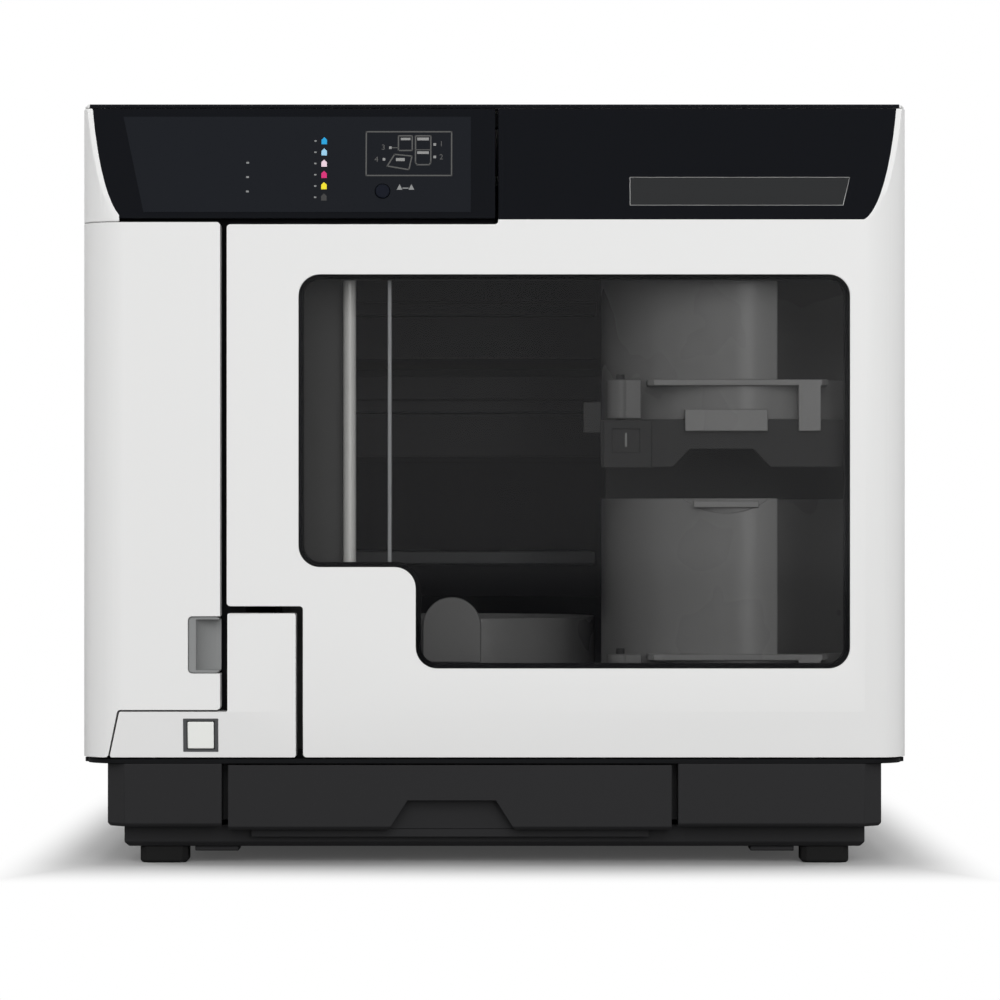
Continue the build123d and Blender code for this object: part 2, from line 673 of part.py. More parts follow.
def make_frame():
    frame = block(-FRAME_HALF, FRAME_HALF, FRAME_FRONT, CASE_EDGE, DECK_TOP, FRAME_TOP)
    bay = front_prism(
        Pos((BAY_LEFT + BAY_RIGHT) / 2, (BAY_BOTTOM + BAY_TOP) / 2)
        * Rectangle(BAY_RIGHT - BAY_LEFT, BAY_TOP - BAY_BOTTOM),
        FRAME_FRONT, CASE_EDGE,
    )
    ink_bay = block(
        INK_BAY_LEFT, INK_BAY_RIGHT, FRAME_FRONT, CASE_EDGE, INK_BAY_BOTTOM, INK_BAY_TOP
    )
    frame -= bay
    frame -= ink_bay
    rise = block(FRAME_HALF - WALL * 4, FRAME_HALF, HINGE_Y, CASE_EDGE, FRAME_TOP, COVER_TOP - TONGUE_GAP)
    frame += rise
    frame += tongue(1, COVER_TOP)
    frame += tongue(-1, INK_TOP)
    PARTS["front_frame"] = frame

    pins = []
    for side in (-1, 1):
        pins.append(
            post(side * HINGE_X, HINGE_Y, PLINTH_TOP, CASE_BOTTOM + HINGE_LUG * 0.8, HINGE_PIN_RADIUS)
        )
    for side, top in ((1, COVER_TOP), (-1, INK_TOP)):
        low = top - TONGUE_GAP * 2 - TONGUE - HINGE_LUG * 0.8
        pins.append(post(side * HINGE_X, HINGE_Y, low, top - TONGUE_GAP, HINGE_PIN_RADIUS))
    PARTS["hinge_pins"] = Compound(pins)


def lug(side, z0, z1):
    """A hinge eye inside a cover's corner."""
    x0, x1 = sorted((side * (HINGE_X - HINGE_RADIUS), side * (HINGE_X + HINGE_RADIUS / 4)))
    eye = post(side * HINGE_X, HINGE_Y, z0, z1, HINGE_RADIUS)
    return eye + block(x0, x1, FRONT + COVER_RIM - WALL, HINGE_Y, z0, z1)


def cover(region, outline_corner, rim, rear):
    """A moulded front cover: a skin that follows the case, with a rim round its region."""
    outer = envelope(0, CASE_BOTTOM, COVER_TOP)
    inner = envelope(WALL, CASE_BOTTOM, COVER_TOP)
    shape = region(0)
    corners = [v for v in shape.vertices() if abs(v.X) < SIDE and v.Y < COVER_TOP - 1]
    shape = fillet(corners, outline_corner)
    skin = outer & front_prism(shape, FRONT - WALL, rear)
    skin -= inner & front_prism(region(WALL), FRONT - WALL, rear + 1)
    return skin - block(-SIDE + WALL, SIDE - WALL, FRONT + rim, rear + 1, 0, HEIGHT)


def hinged(shell, side, top):
    """Adds the two hinge eyes of a cover and the room for the frame's ear."""
    low = top - TONGUE_GAP * 2 - TONGUE
    shell += lug(side, CASE_BOTTOM, CASE_BOTTOM + HINGE_LUG)
    shell += lug(side, low - HINGE_LUG, low)
    x0, x1 = sorted((side * (FRAME_HALF - HINGE_RADIUS), side * (SIDE + 1)))
    shell -= block(x0, x1, HINGE_Y - HINGE_RADIUS * 1.5, COVER_REAR + 1, low, top + 1)
    bore = HINGE_PIN_RADIUS + RUNNING_FIT
    return shell - post(side * HINGE_X, HINGE_Y, 0, HEIGHT, bore)


# ---------------------------------------------------------------- disc cover
def door_region(inset):
    split = SPLIT_X + SPLIT_GAP
    points = [
        (DOOR_LEFT + inset, NOTCH_TOP + inset),
        (NOTCH_RIGHT + inset, NOTCH_TOP + inset),
        (NOTCH_RIGHT + inset, CASE_BOTTOM + inset),
        (SIDE + WALL, CASE_BOTTOM + inset),
        (SIDE + WALL, COVER_TOP - inset),
        (split + inset, COVER_TOP - inset),
        (split + inset, DOOR_STEP - inset),
        (DOOR_LEFT + inset, DOOR_STEP - inset),
    ]
    return polygon(points)


def window_outline(grow=0.0):
    """The window with its cut-out lower left corner, grown outwards by a distance."""
    left = WINDOW_LEFT - grow
    right = WINDOW_RIGHT + grow
    bottom = WINDOW_BOTTOM - grow
    top = WINDOW_TOP + grow
    step_x = WINDOW_LEFT + WINDOW_STEP_WIDTH - grow
    step_z = WINDOW_BOTTOM + WINDOW_STEP_HEIGHT - grow
    points = [
        (left, step_z), (step_x, step_z), (step_x, bottom),
        (right, bottom), (right, top), (left, top),
    ]
    outline = polygon(points)
    hollow = outline.vertices().sort_by_distance((step_x, step_z, 0))[0]
    outline = fillet([hollow], WINDOW_CORNER - grow)
    corners = [(left, step_z), (step_x, bottom), (right, bottom), (right, top), (left, top)]
    for x, z in corners:
        corner = outline.vertices().sort_by_distance((x, z, 0))[0]
        outline = fillet([corner], WINDOW_CORNER + grow)
    return outline


def lamp_outline(grow):
    half = LAMP_WIDTH / 2 + grow
    low = BAND_FOOT + LAMP_ABOVE - grow
    high = low + LAMP_TALL + grow * 2
    return polygon(
        [(LAMP_X - half, low), (LAMP_X + half - LAMP_SLANT, low), (LAMP_X + half, high), (LAMP_X - half, high)]
    )


def make_door():
    split = SPLIT_X + SPLIT_GAP
    band_low = BAND_FOOT + CONTROL_BOTTOM / 2
    shell = cover(door_region, COVER_CORNER, COVER_RIM, COVER_REAR)
    shell -= band_slab(0, BAND_SKIN, split - 1, SIDE + 1, band_low, HEIGHT) & band_bounds()
    shell -= front_prism(window_outline(), FRONT - 1, FRONT + WALL + 1)
    PARTS["door_shell"] = hinged(shell, 1, COVER_TOP)

    band = band_slab(0, BAND_SKIN, split, SIDE, band_low, COVER_TOP)
    band = band & envelope(0, CASE_BOTTOM, COVER_TOP) & band_bounds()
    lamp_cut = front_prism(lamp_outline(FIT), FRONT - WALL, FRAME_FRONT)
    PARTS["door_band"] = band - lamp_cut
    lamp = band_slab(FIT, BAND_SKIN, split, SIDE, band_low, COVER_TOP)
    PARTS["status_lamp"] = lamp & front_prism(lamp_outline(0), FRONT - WALL, FRAME_FRONT)

    back = FRONT + WALL
    pane = front_prism(window_outline(-FIT), FRONT + PANE_SETBACK, back)
    pane += front_prism(window_outline(PANE_FLANGE), back, back + PANE)
    PARTS["door_window"] = pane
    ring = front_prism(window_outline(WINDOW_FRAME_WIDTH), back + PANE, back + WINDOW_FRAME_DEPTH)
    ring -= front_prism(
        window_outline(-WINDOW_FRAME_LAP), back + PANE, back + WINDOW_FRAME_DEPTH
    )
    PARTS["window_frame"] = ring


# ---------------------------------------------------------------- ink cover
def ink_region(inset):
    points = [
        (-SIDE - WALL, CASE_BOTTOM + inset),
        (CHIN_LEFT_BOTTOM - INK_CHIN_SEAM - inset, CASE_BOTTOM + inset),
        (CHIN_LEFT_TOP - INK_CHIN_SEAM - inset, INK_BOTTOM + inset),
        (INK_RIGHT - inset, INK_BOTTOM + inset),
        (INK_RIGHT - inset, INK_TOP - inset),
        (-SIDE - WALL, INK_TOP - inset),
    ]
    return polygon(points)


def make_ink_cover():
    shell = cover(ink_region, COVER_CORNER, COVER_RIM, COVER_REAR)
    grip_low = CASE_BOTTOM + GRIP_ABOVE
    grip_mid = Pos(INK_RIGHT - GRIP_WIDTH / 2 + GRIP_CORNER, grip_low + GRIP_TALL / 2)
    cut_width = GRIP_WIDTH + GRIP_CORNER * 2
    opening = grip_mid * RectangleRounded(cut_width, GRIP_TALL, GRIP_CORNER)
    shell -= front_prism(opening, FRONT - 1, FRONT + COVER_RIM + 1)
    PARTS["ink_cover_shell"] = hinged(shell, -1, INK_TOP)

    left = INK_RIGHT - GRIP_WIDTH
    insert = front_prism(
        Pos((left + INK_RIGHT + FIT) / 2, grip_low + GRIP_TALL / 2)
        * RectangleRounded(GRIP_WIDTH - FIT, GRIP_TALL - FIT * 2, GRIP_CORNER),
        FRONT + WALL / 2, FRONT + GRIP_DEPTH,
    )
    flange = block(
        left - WALL, INK_RIGHT - WALL, FRONT + WALL, FRONT + WALL * 2,
        grip_low - WALL, grip_low + GRIP_TALL + WALL,
    )
    insert += flange
    low, high = grip_low + GRIP_LIP, grip_low + GRIP_TALL - GRIP_LIP
    scoop = post(INK_RIGHT + GRIP_LIP, FRONT - GRIP_SCOOP_AHEAD, low, high, GRIP_SCOOP)
    PARTS["ink_cover_grip"] = insert - scoop


# ---------------------------------------------------------------- fixed front pieces
def lower_region(inset):
    right = NOTCH_RIGHT - PANEL_GAP - inset
    left = DOOR_LEFT + FIT + inset
    points = [
        (CHIN_LEFT_BOTTOM + inset, CASE_BOTTOM + inset),
        (right, CASE_BOTTOM + inset),
        (right, NOTCH_TOP - PANEL_GAP - inset),
        (left, NOTCH_TOP - PANEL_GAP - inset),
        (left, CHIN_CREASE - inset),
        (CHIN_LEFT_TOP + inset, CHIN_CREASE - inset),
    ]
    return polygon(points)


def make_lower_panel():
    key_z = CASE_BOTTOM + KEY_ABOVE
    panel = cover(lower_region, COVER_CORNER / 2, FRAME_FROM_FRONT, FRAME_FRONT)
    centre = Pos(KEY_X, key_z)
    panel -= front_prism(centre * Rectangle(BEZEL_WIDTH, BEZEL_TALL), FRONT - 1, FRONT + BEZEL_DEPTH)
    PARTS["lower_front_panel"] = panel

    ring = centre * Rectangle(BEZEL_WIDTH, BEZEL_TALL)
    ring -= centre * Rectangle(KEY_WIDTH + KEY_CLEAR * 2, KEY_TALL + KEY_CLEAR * 2)
    proud = envelope(-BEZEL_PROUD, 0, HEIGHT)
    PARTS["power_bezel"] = proud & front_prism(ring, FRONT - WALL, FRONT + BEZEL_DEPTH)

    key = centre * Rectangle(KEY_WIDTH, KEY_TALL)
    raised = envelope(-KEY_PROUD, 0, HEIGHT)
    PARTS["power_key"] = raised & front_prism(key, FRONT - WALL, FRONT + KEY_DEPTH)


def make_control_panel():
    case = envelope(0, CASE_BOTTOM, COVER_TOP)
    panel = band_slab(0, BAND_SKIN, -SIDE, SPLIT_X, CONTROL_LOW, COVER_TOP) & case & band_bounds()
    flat = SIDE - FRONT_CORNER
    panel += band_slab(BAND_SKIN, WALL, -flat, SPLIT_X, CONTROL_LOW, COVER_TOP) & case
    shelf_high = CONTROL_LOW + CONTROL_SHELF
    walls = block(-flat, SPLIT_X, FRONT, FRAME_FRONT, CONTROL_LOW, shelf_high)
    walls += block(SPLIT_X - WALL, SPLIT_X, FRONT, FRAME_FRONT, CONTROL_LOW, COVER_TOP)
    walls += block(-flat, -flat + WALL, FRONT, FRAME_FRONT, CONTROL_LOW, COVER_TOP)
    walls += block(
        DOOR_LEFT, SPLIT_X, FRONT + COVER_RIM + FIT, FRAME_FRONT - FIT, DOOR_STEP - WALL, shelf_high
    )
    panel += walls & envelope(BAND_SKIN / 2, CASE_BOTTOM, COVER_TOP)
    key_seat = band_seat(ROUND_KEY_X, ROUND_KEY_ABOVE).location
    hole = key_seat * Cylinder(ROUND_KEY_RADIUS + FIT, WALL * 4)
    PARTS["control_panel"] = panel - hole

    outline = polygon([
        (MEMBRANE_LEFT_BOTTOM, BAND_FOOT + MEMBRANE_BOTTOM),
        (MEMBRANE_RIGHT, BAND_FOOT + MEMBRANE_BOTTOM),
        (MEMBRANE_RIGHT, BAND_FOOT + MEMBRANE_TOP),
        (MEMBRANE_LEFT_TOP, BAND_FOOT + MEMBRANE_TOP),
    ])
    film = band_slab(-MEMBRANE, 0, -SIDE, SPLIT_X, BAND_FOOT, HEIGHT)
    PARTS["control_membrane"] = film & front_prism(outline, FRONT - WALL, FRAME_FRONT) - hole

    length = ROUND_KEY_DEPTH + ROUND_KEY_PROUD
    key = Cylinder(ROUND_KEY_RADIUS, length)
    key = chamfer(key.faces().sort_by(Axis.Z)[-1].edges(), ROUND_KEY_PROUD / 2)
    PARTS["round_key"] = key_seat * Pos(0, 0, ROUND_KEY_PROUD - length / 2) * key


# ---------------------------------------------------------------- case covers
def socket_block(inset, y0, y1):
    """The mains inlet's place in the rear panel, drawn in by an inset."""
    half = SOCKET_WIDTH / 2 - inset
    tall = SOCKET_HEIGHT / 2 - inset
    return block(FAN_X - half, FAN_X + half, y0, y1, SOCKET_Z - tall, SOCKET_Z + tall)


def port_block(inset, y0, y1):
    """The data port's place beside the inlet, drawn in by an inset."""
    x = FAN_X - PORT_FROM_FAN
    half = PORT_WIDTH / 2 - inset
    tall = PORT_HEIGHT / 2 - inset
    return block(x - half, x + half, y0, y1, PORT_Z - tall, PORT_Z + tall)


def make_case():
    skin = envelope(0, CASE_BOTTOM, ROOF_BOTTOM) - envelope(WALL, CASE_BOTTOM - 1, HEIGHT)
    for side, name in ((-1, "side_cover_left"), (1, "side_cover_right")):
        x0, x1 = sorted((side * (REAR_PANEL_HALF + FIT), side * FAR))
        cover_side = skin & block(x0, x1, CASE_EDGE, FAR, 0, HEIGHT)
        wall_in = side * (SIDE - WALL / 2)
        tab_in = side * (SIDE - WALL * 1.6)
        for y in (-DEPTH / 4, 0, DEPTH / 4):
            t0, t1 = sorted((wall_in, tab_in))
            cover_side += block(t0, t1, y, y + FOOT_SIZE, DECK_TOP, CASE_BOTTOM + FOOT_SIZE / 3)
        if side < 0:
            flat = SIDE - FRONT_CORNER
            ahead = skin & block(-FAR, -flat - WALL, -FAR, CASE_EDGE, INK_TOP + FIT, HEIGHT)
            ahead = ahead & block(-FAR, FAR, -FAR, FAR, 0, COVER_TOP)
            ahead -= band_slab(0, BAND_SKIN, -FAR, 0, CONTROL_LOW, HEIGHT) & band_bounds()
            cover_side += ahead
        PARTS[name] = cover_side

    roof = plan_prism(plan_outline(ROOF_INSET), ROOF_BOTTOM, HEIGHT) - band_cutter(ROOF_INSET)
    roof = chamfer(roof.faces().sort_by(Axis.Z)[-1].edges(), ROOF / 2)
    flange = plan_prism(plan_outline(WALL + FIT), ROOF_BOTTOM - ROOF_FLANGE, ROOF_BOTTOM)
    flange -= plan_prism(plan_outline(WALL * 2), 0, HEIGHT)
    roof += flange & block(-FAR, FAR, CASE_EDGE + WALL, FAR, 0, HEIGHT)
    PARTS["top_cover"] = roof

    panel = block(-REAR_PANEL_HALF, REAR_PANEL_HALF, REAR - WALL, REAR, DECK_TOP, ROOF_BOTTOM)
    pitch = FAN_BORE * 2 / GRILLE_SLOTS
    for index in range(GRILLE_SLOTS):
        z = FAN_Z + (index - (GRILLE_SLOTS - 1) / 2) * pitch
        chord = 2 * (FAN_BORE ** 2 - (z - FAN_Z) ** 2) ** 0.5 - GRILLE_SLOT
        slot = Pos(FAN_X, z) * Rectangle(chord, GRILLE_SLOT)
        panel -= front_prism(slot, REAR - WALL, REAR)
    panel -= socket_block(0, REAR - WALL, REAR)
    panel -= port_block(0, REAR - WALL, REAR)
    PARTS["rear_panel"] = panel


# ---------------------------------------------------------------- bay, column and arm
def make_bay():
    partition = block(BAY_LEFT - SHEET * 2, BAY_LEFT - SHEET, CASE_EDGE, REAR - WALL * 2, DECK_TOP, BAY_TOP)
    east, north = SIDE - WALL * 2, DRIVE_FRONT + WALL
    room = block(ELECTRONICS_X, east, ELECTRONICS_Y, north, DECK_TOP, BAY_TOP)
    corner = room - block(ELECTRONICS_X + SHEET, east, ELECTRONICS_Y + SHEET, north, DECK_TOP, BAY_TOP)
    corner += room & post(SHAFT_X, SHAFT_Y, DECK_TOP, BAY_TOP, SWEEP + SHEET)
    corner -= post(SHAFT_X, SHAFT_Y, DECK_TOP, BAY_TOP, SWEEP)
    PARTS["bay_walls"] = Compound([partition.solid(), corner.solid()])


def make_column():
    mid_x = (COLUMN_LEFT + COLUMN_RIGHT) / 2
    mid_y = (COLUMN_FRONT + COLUMN_REAR) / 2
    size_x = COLUMN_RIGHT - COLUMN_LEFT
    size_y = COLUMN_REAR - COLUMN_FRONT
    outline = Pos(mid_x, mid_y) * Rectangle(size_x, size_y)
    front = outline.vertices().group_by(Axis.Y)[0].sort_by(Axis.X)
    outline = fillet([front[0]], COLUMN_ROUND)
    column = plan_prism(outline, DECK_TOP, COLUMN_TOP)
    inner = Pos(mid_x, mid_y + COLUMN_WALL) * Rectangle(size_x - COLUMN_WALL * 2, size_y)
    inner_front = inner.vertices().group_by(Axis.Y)[0].sort_by(Axis.X)
    inner = fillet([inner_front[0]], COLUMN_ROUND - COLUMN_WALL)
    column -= plan_prism(inner, DECK_TOP, COLUMN_TOP - COLUMN_HEAD)
    slot_low = PULLEY_LOW + BELT_WIDTH * 2
    column -= block(
        COLUMN_RIGHT - COLUMN_WALL * 2, COLUMN_RIGHT + 1, SLOT_FRONT, SLOT_REAR,
        slot_low, COLUMN_TOP - COLUMN_HEAD * 2,
    )
    strip_edge = STRIP_X + STRIP_THICKNESS / 2
    head = block(COLUMN_RIGHT - WALL, strip_edge, STRIP_FRONT, COLUMN_FRONT + COLUMN_ROUND,
                 COLUMN_TOP - COLUMN_HEAD, COLUMN_TOP)
    column += head
    column -= post(SHAFT_X, SHAFT_Y, DECK_TOP, COLUMN_TOP, SHAFT_RADIUS)
    axle_length = BELT_WIDTH + WALL * 2
    column += rod(
        (PULLEY_X, COLUMN_FRONT + COLUMN_WALL / 2, PULLEY_HIGH), (0, 1, 0), axle_length, AXLE_RADIUS
    )
    PARTS["arm_column"] = column
    PARTS["arm_shaft"] = post(SHAFT_X, SHAFT_Y, DECK_TOP, COLUMN_TOP, SHAFT_RADIUS)
    PARTS["arm_guide_strip"] = block(
        STRIP_X - STRIP_THICKNESS / 2, strip_edge, STRIP_FRONT, STRIP_REAR,
        BAY_BOTTOM, COLUMN_TOP - COLUMN_HEAD,
    )


def make_belt():
    inner = PULLEY_RADIUS + RUNNING_FIT
    height = PULLEY_HIGH - PULLEY_LOW
    middle = Pos(PULLEY_X, (PULLEY_HIGH + PULLEY_LOW) / 2)
    outside = middle * Rot(0, 0, 90) * SlotOverall(height + (inner + BELT) * 2, (inner + BELT) * 2)
    inside = middle * Rot(0, 0, 90) * SlotOverall(height + inner * 2, inner * 2)
    y0 = BELT_Y - BELT_WIDTH / 2
    PARTS["arm_belt"] = front_prism(outside - inside, y0, y0 + BELT_WIDTH)
    for name, z in (("drive_pulley", PULLEY_LOW), ("idler_pulley", PULLEY_HIGH)):
        wheel = rod((PULLEY_X, y0, z), (0, 1, 0), BELT_WIDTH, PULLEY_RADIUS)
        wheel -= rod((PULLEY_X, y0, z), (0, 1, 0), BELT_WIDTH, AXLE_RADIUS + RUNNING_FIT)
        PARTS[name] = wheel
    body_front = COLUMN_REAR + FIT
    motor = rod((PULLEY_X, body_front, PULLEY_LOW), (0, 1, 0), MOTOR_LENGTH, MOTOR_RADIUS)
    motor += rod((PULLEY_X, y0, PULLEY_LOW), (0, 1, 0), body_front - y0, AXLE_RADIUS)
    motor += block(
        PULLEY_X - MOTOR_RADIUS / 2, PULLEY_X + MOTOR_RADIUS / 2, body_front,
        body_front + MOTOR_LENGTH, DECK_TOP, PULLEY_LOW,
    )
    PARTS["arm_motor"] = motor


def make_arm():
    base = CARRIAGE_BASE
    top = base + CARRIAGE_HEIGHT
    carriage = post(SHAFT_X, SHAFT_Y, base, top, HUB_RADIUS)
    web_left = COLUMN_RIGHT + FIT * 2
    reach = (SLOT_FRONT + SLOT_REAR) / 2
    low = base + WALL
    carriage += block(web_left, SHAFT_X + WALL, SHAFT_Y, reach + WALL, low, top - FIT)
    belt_edge = PULLEY_X + PULLEY_RADIUS + RUNNING_FIT + BELT + FIT
    carriage += block(belt_edge, SHAFT_X + WALL, reach - WALL, reach + WALL, low, top - FIT)
    carriage -= post(SHAFT_X, SHAFT_Y, base, top, SHAFT_RADIUS + RUNNING_FIT)
    PARTS["arm_carriage"] = carriage

    arm_low = top + FIT
    arm_top = arm_low + ARM_HEIGHT
    turn = Pos(SHAFT_X, SHAFT_Y, 0) * Rot(0, 0, DEEP_BIN_ANGLE)
    beam = block(0, ARM_LENGTH, -ARM_HALF_WIDTH, ARM_HALF_WIDTH, arm_top - ARM_THICKNESS, arm_top)
    beam -= block(
        HUB_RADIUS * 2, ARM_LENGTH - HEAD_RADIUS * 1.4, -ARM_HALF_WIDTH + SHEET,
        ARM_HALF_WIDTH - SHEET, arm_top - ARM_THICKNESS, arm_top - SHEET,
    )
    beam += post(0, 0, arm_low, arm_top, HUB_RADIUS)
    beam += post(ARM_LENGTH, 0, arm_top - HEAD_HEIGHT, arm_top, HEAD_RADIUS)
    beam -= post(ARM_LENGTH, 0, arm_top - HEAD_HEIGHT, arm_top - WALL, HEAD_RADIUS - WALL)
    beam -= post(0, 0, arm_low, arm_top, SHAFT_RADIUS + RUNNING_FIT)
    PARTS["pick_arm"] = turn * beam

    spindle_top = arm_top - WALL
    spindle_low = arm_top - HEAD_HEIGHT - SPINDLE_HEIGHT
    gripper = post(ARM_LENGTH, 0, spindle_low, spindle_top, SPINDLE_RADIUS - CLAW)
    for angle in (30, 150, 270):
        claw = Rot(0, 0, angle) * block(
            SPINDLE_RADIUS - CLAW * 1.5, SPINDLE_RADIUS, -CLAW, CLAW, spindle_low, spindle_top - WALL
        )
        gripper += Pos(ARM_LENGTH, 0, 0) * claw
    PARTS["gripper"] = turn * gripper


# ---------------------------------------------------------------- bins and their holder
def bin_tube(x, y, base, height):
    tube = post(x, y, base, base + height, BIN_OUTER)
    return tube - post(x, y, base + BIN_FLOOR, base + height, BIN_INNER)


def slotted_bin(base):
    """A bin that opens to the front right above its collar, with a lip and tabs in front."""
    top = base + BIN_HEIGHT
    face = BIN_Y - BIN_OUTER
    shell = bin_tube(BIN_X, BIN_Y, base, BIN_HEIGHT)
    reach = BIN_OUTER * 1.5
    wedge = [(BIN_X, BIN_Y)]
    for angle in (BIN_SLOT_FROM, (BIN_SLOT_FROM + BIN_SLOT_TO) / 2, BIN_SLOT_TO):
        wedge.append((BIN_X + reach * sin(radians(angle)), BIN_Y - reach * cos(radians(angle))))
    shell -= plan_prism(polygon(wedge), base + COLLAR, top)

    lip_x = BIN_X + LIP_SHIFT
    extras = block(
        lip_x - LIP_HALF, lip_x + LIP_HALF, face - LIP_OUT, BIN_Y - BIN_OUTER * 0.7,
        base + COLLAR - LIP, base + COLLAR,
    )
    extras = chamfer(extras.edges().filter_by(Axis.Z).group_by(Axis.Y)[0], LIP)
    for offset, half, high in (
        (TAB_SHIFT, TAB_HALF, base + COLLAR / 4),
        (HOOK_OFFSET, HOOK_HALF, base + COLLAR - LIP),
    ):
        x0, x1 = BIN_X + offset - half, BIN_X + offset + half
        extras += block(x0, x1, face - LIP_OUT, face - FIT, base - TAB_DROP, high)
        extras += block(x0, x1, face - LIP_OUT, BIN_Y - BIN_OUTER * 0.7, base + FIT, high)
    bar_x = BIN_X + TAB_SHIFT
    extras += block(
        bar_x - RIM_BAR_HALF, bar_x + RIM_BAR_HALF, face - RIM_CUT, face + RIM_BAR,
        top - RIM_BAR * 1.4, top - RIM_BAR * 0.4,
    )
    extras -= post(BIN_X, BIN_Y, base - TAB_DROP, top, BIN_INNER + WALL / 4)

    sag = (RIM_DIP_HALF ** 2 + RIM_DIP ** 2) / (2 * RIM_DIP)
    dip = rod((bar_x, face - WALL, top - RIM_DIP + sag), (0, 1, 0), BIN_OUTER, sag)
    dip -= post(BIN_X, BIN_Y, base, top + sag * 2, BIN_OUTER - RIM_CUT)
    return (shell - dip) + extras


def make_bins():
    upper = LOWER_BIN_BASE + BIN_PITCH
    PARTS["bin_1"] = slotted_bin(upper)
    PARTS["bin_2"] = slotted_bin(LOWER_BIN_BASE)

    deep = bin_tube(STATION_X, STATION_Y, DECK_TOP, DEEP_BIN_HEIGHT)
    deep += post(STATION_X, STATION_Y, DECK_TOP - DECK, DECK_TOP + 1, BIN_INNER - FIT)
    top = DECK_TOP + DEEP_BIN_HEIGHT
    face = STATION_Y - BIN_OUTER
    x = STATION_X + TONGUE_SHIFT
    grip = arched(TONGUE_HALF, top - TONGUE_LOW, top + TONGUE_TOP, face - WALL, face + WALL, x)
    grip += block(
        x - TONGUE_HALF, x + TONGUE_HALF, face - WALL, face + WALL, top - TONGUE_LOW * 2, top - TONGUE_LOW
    )
    grip -= post(STATION_X, STATION_Y, DECK_TOP, top + TONGUE_TOP, BIN_INNER + FIT)
    PARTS["bin_3"] = deep + grip

    face = BIN_Y - BIN_OUTER
    holder = block(
        HOLDER_LEFT + SPINE_INSET, HOLDER_RIGHT, BIN_Y + BIN_OUTER + FIT * 3, ELECTRONICS_Y - FIT,
        DECK_TOP, upper + COLLAR,
    )
    levers = []
    for base in (LOWER_BIN_BASE, upper):
        holder += block(
            HOLDER_LEFT, HOLDER_RIGHT, face, ELECTRONICS_Y - FIT * 2, base - HOLDER_SHEET, base
        )
        arch_x = BIN_X + ARCH_SHIFT
        arch_top = base - APRON_DROP + ARCH_RISE
        apron = block(HOLDER_LEFT, HOLDER_RIGHT, face, face + APRON, base - APRON_DROP, base)
        arch = polygon([
            (arch_x - ARCH_HALF_BOTTOM, base - APRON_DROP),
            (arch_x + ARCH_HALF_BOTTOM, base - APRON_DROP),
            (arch_x + ARCH_HALF_TOP, arch_top),
            (arch_x - ARCH_HALF_TOP, arch_top),
        ])
        holder += apron - front_prism(arch, face, face + APRON)
        plate = block(
            HOLDER_LEFT + WALL / 2, HOLDER_LEFT + WALL / 2 + PLATE_WIDTH, face - PLATE_OUT, face,
            base - APRON_DROP - FIT, base - FIT * 2,
        )
        plate -= block(
            HOLDER_LEFT + WALL * 2, HOLDER_LEFT + PLATE_WIDTH - WALL * 1.6, face - PLATE_OUT,
            face - PLATE_OUT + PLATE_RECESS, base - APRON_DROP * 0.7, base - APRON_DROP * 0.2,
        )
        holder += plate
        sensor_front = face + APRON / 2
        holder += block(
            HOLDER_LEFT - SENSOR, HOLDER_LEFT, sensor_front, sensor_front + SENSOR,
            base - SENSOR * 0.75, base + SENSOR,
        )
        holder += post(LEVER_X, LEVER_Y, base - 1, base + COLLAR + WALL, LEVER_PIN_RADIUS)
        knob = post(LEVER_X, LEVER_Y, base + FIT, base + COLLAR, LEVER_RADIUS)
        knob += block(
            LEVER_X, LEVER_X + LEVER_REACH, LEVER_Y - LEVER_RADIUS * 0.9, LEVER_Y - LEVER_RADIUS * 0.3,
            base + FIT, base + COLLAR,
        )
        levers.append(knob - post(LEVER_X, LEVER_Y, base, base + COLLAR, LEVER_PIN_RADIUS + RUNNING_FIT))
    PARTS["bin_holder"] = holder
    PARTS["bin_lever_1"] = levers[1]
    PARTS["bin_lever_2"] = levers[0]


# ---------------------------------------------------------------- drives and printer
def disc_tray(z, front):
    """A sliding tray with a dished recess for a disc and a front face."""
    y0 = front - TRAY_FACE
    half = TRAY_WIDTH / 2
    tray = block(STATION_X - half, STATION_X + half, front, y0 + TRAY_LENGTH, z, z + TRAY_HEIGHT)
    tray += block(STATION_X - half, STATION_X + half, y0, front, z, z + TRAY_HEIGHT)
    centre_y = STATION_Y + TRAY_TRAVEL
    tray -= post(STATION_X, centre_y, z + TRAY_HEIGHT - WALL, z + TRAY_HEIGHT, BIN_INNER)
    tray -= block(
        STATION_X - TRAY_WIDTH / 8, STATION_X + TRAY_WIDTH / 8, centre_y, y0 + TRAY_LENGTH, z,
        z + TRAY_HEIGHT,
    )
    return tray


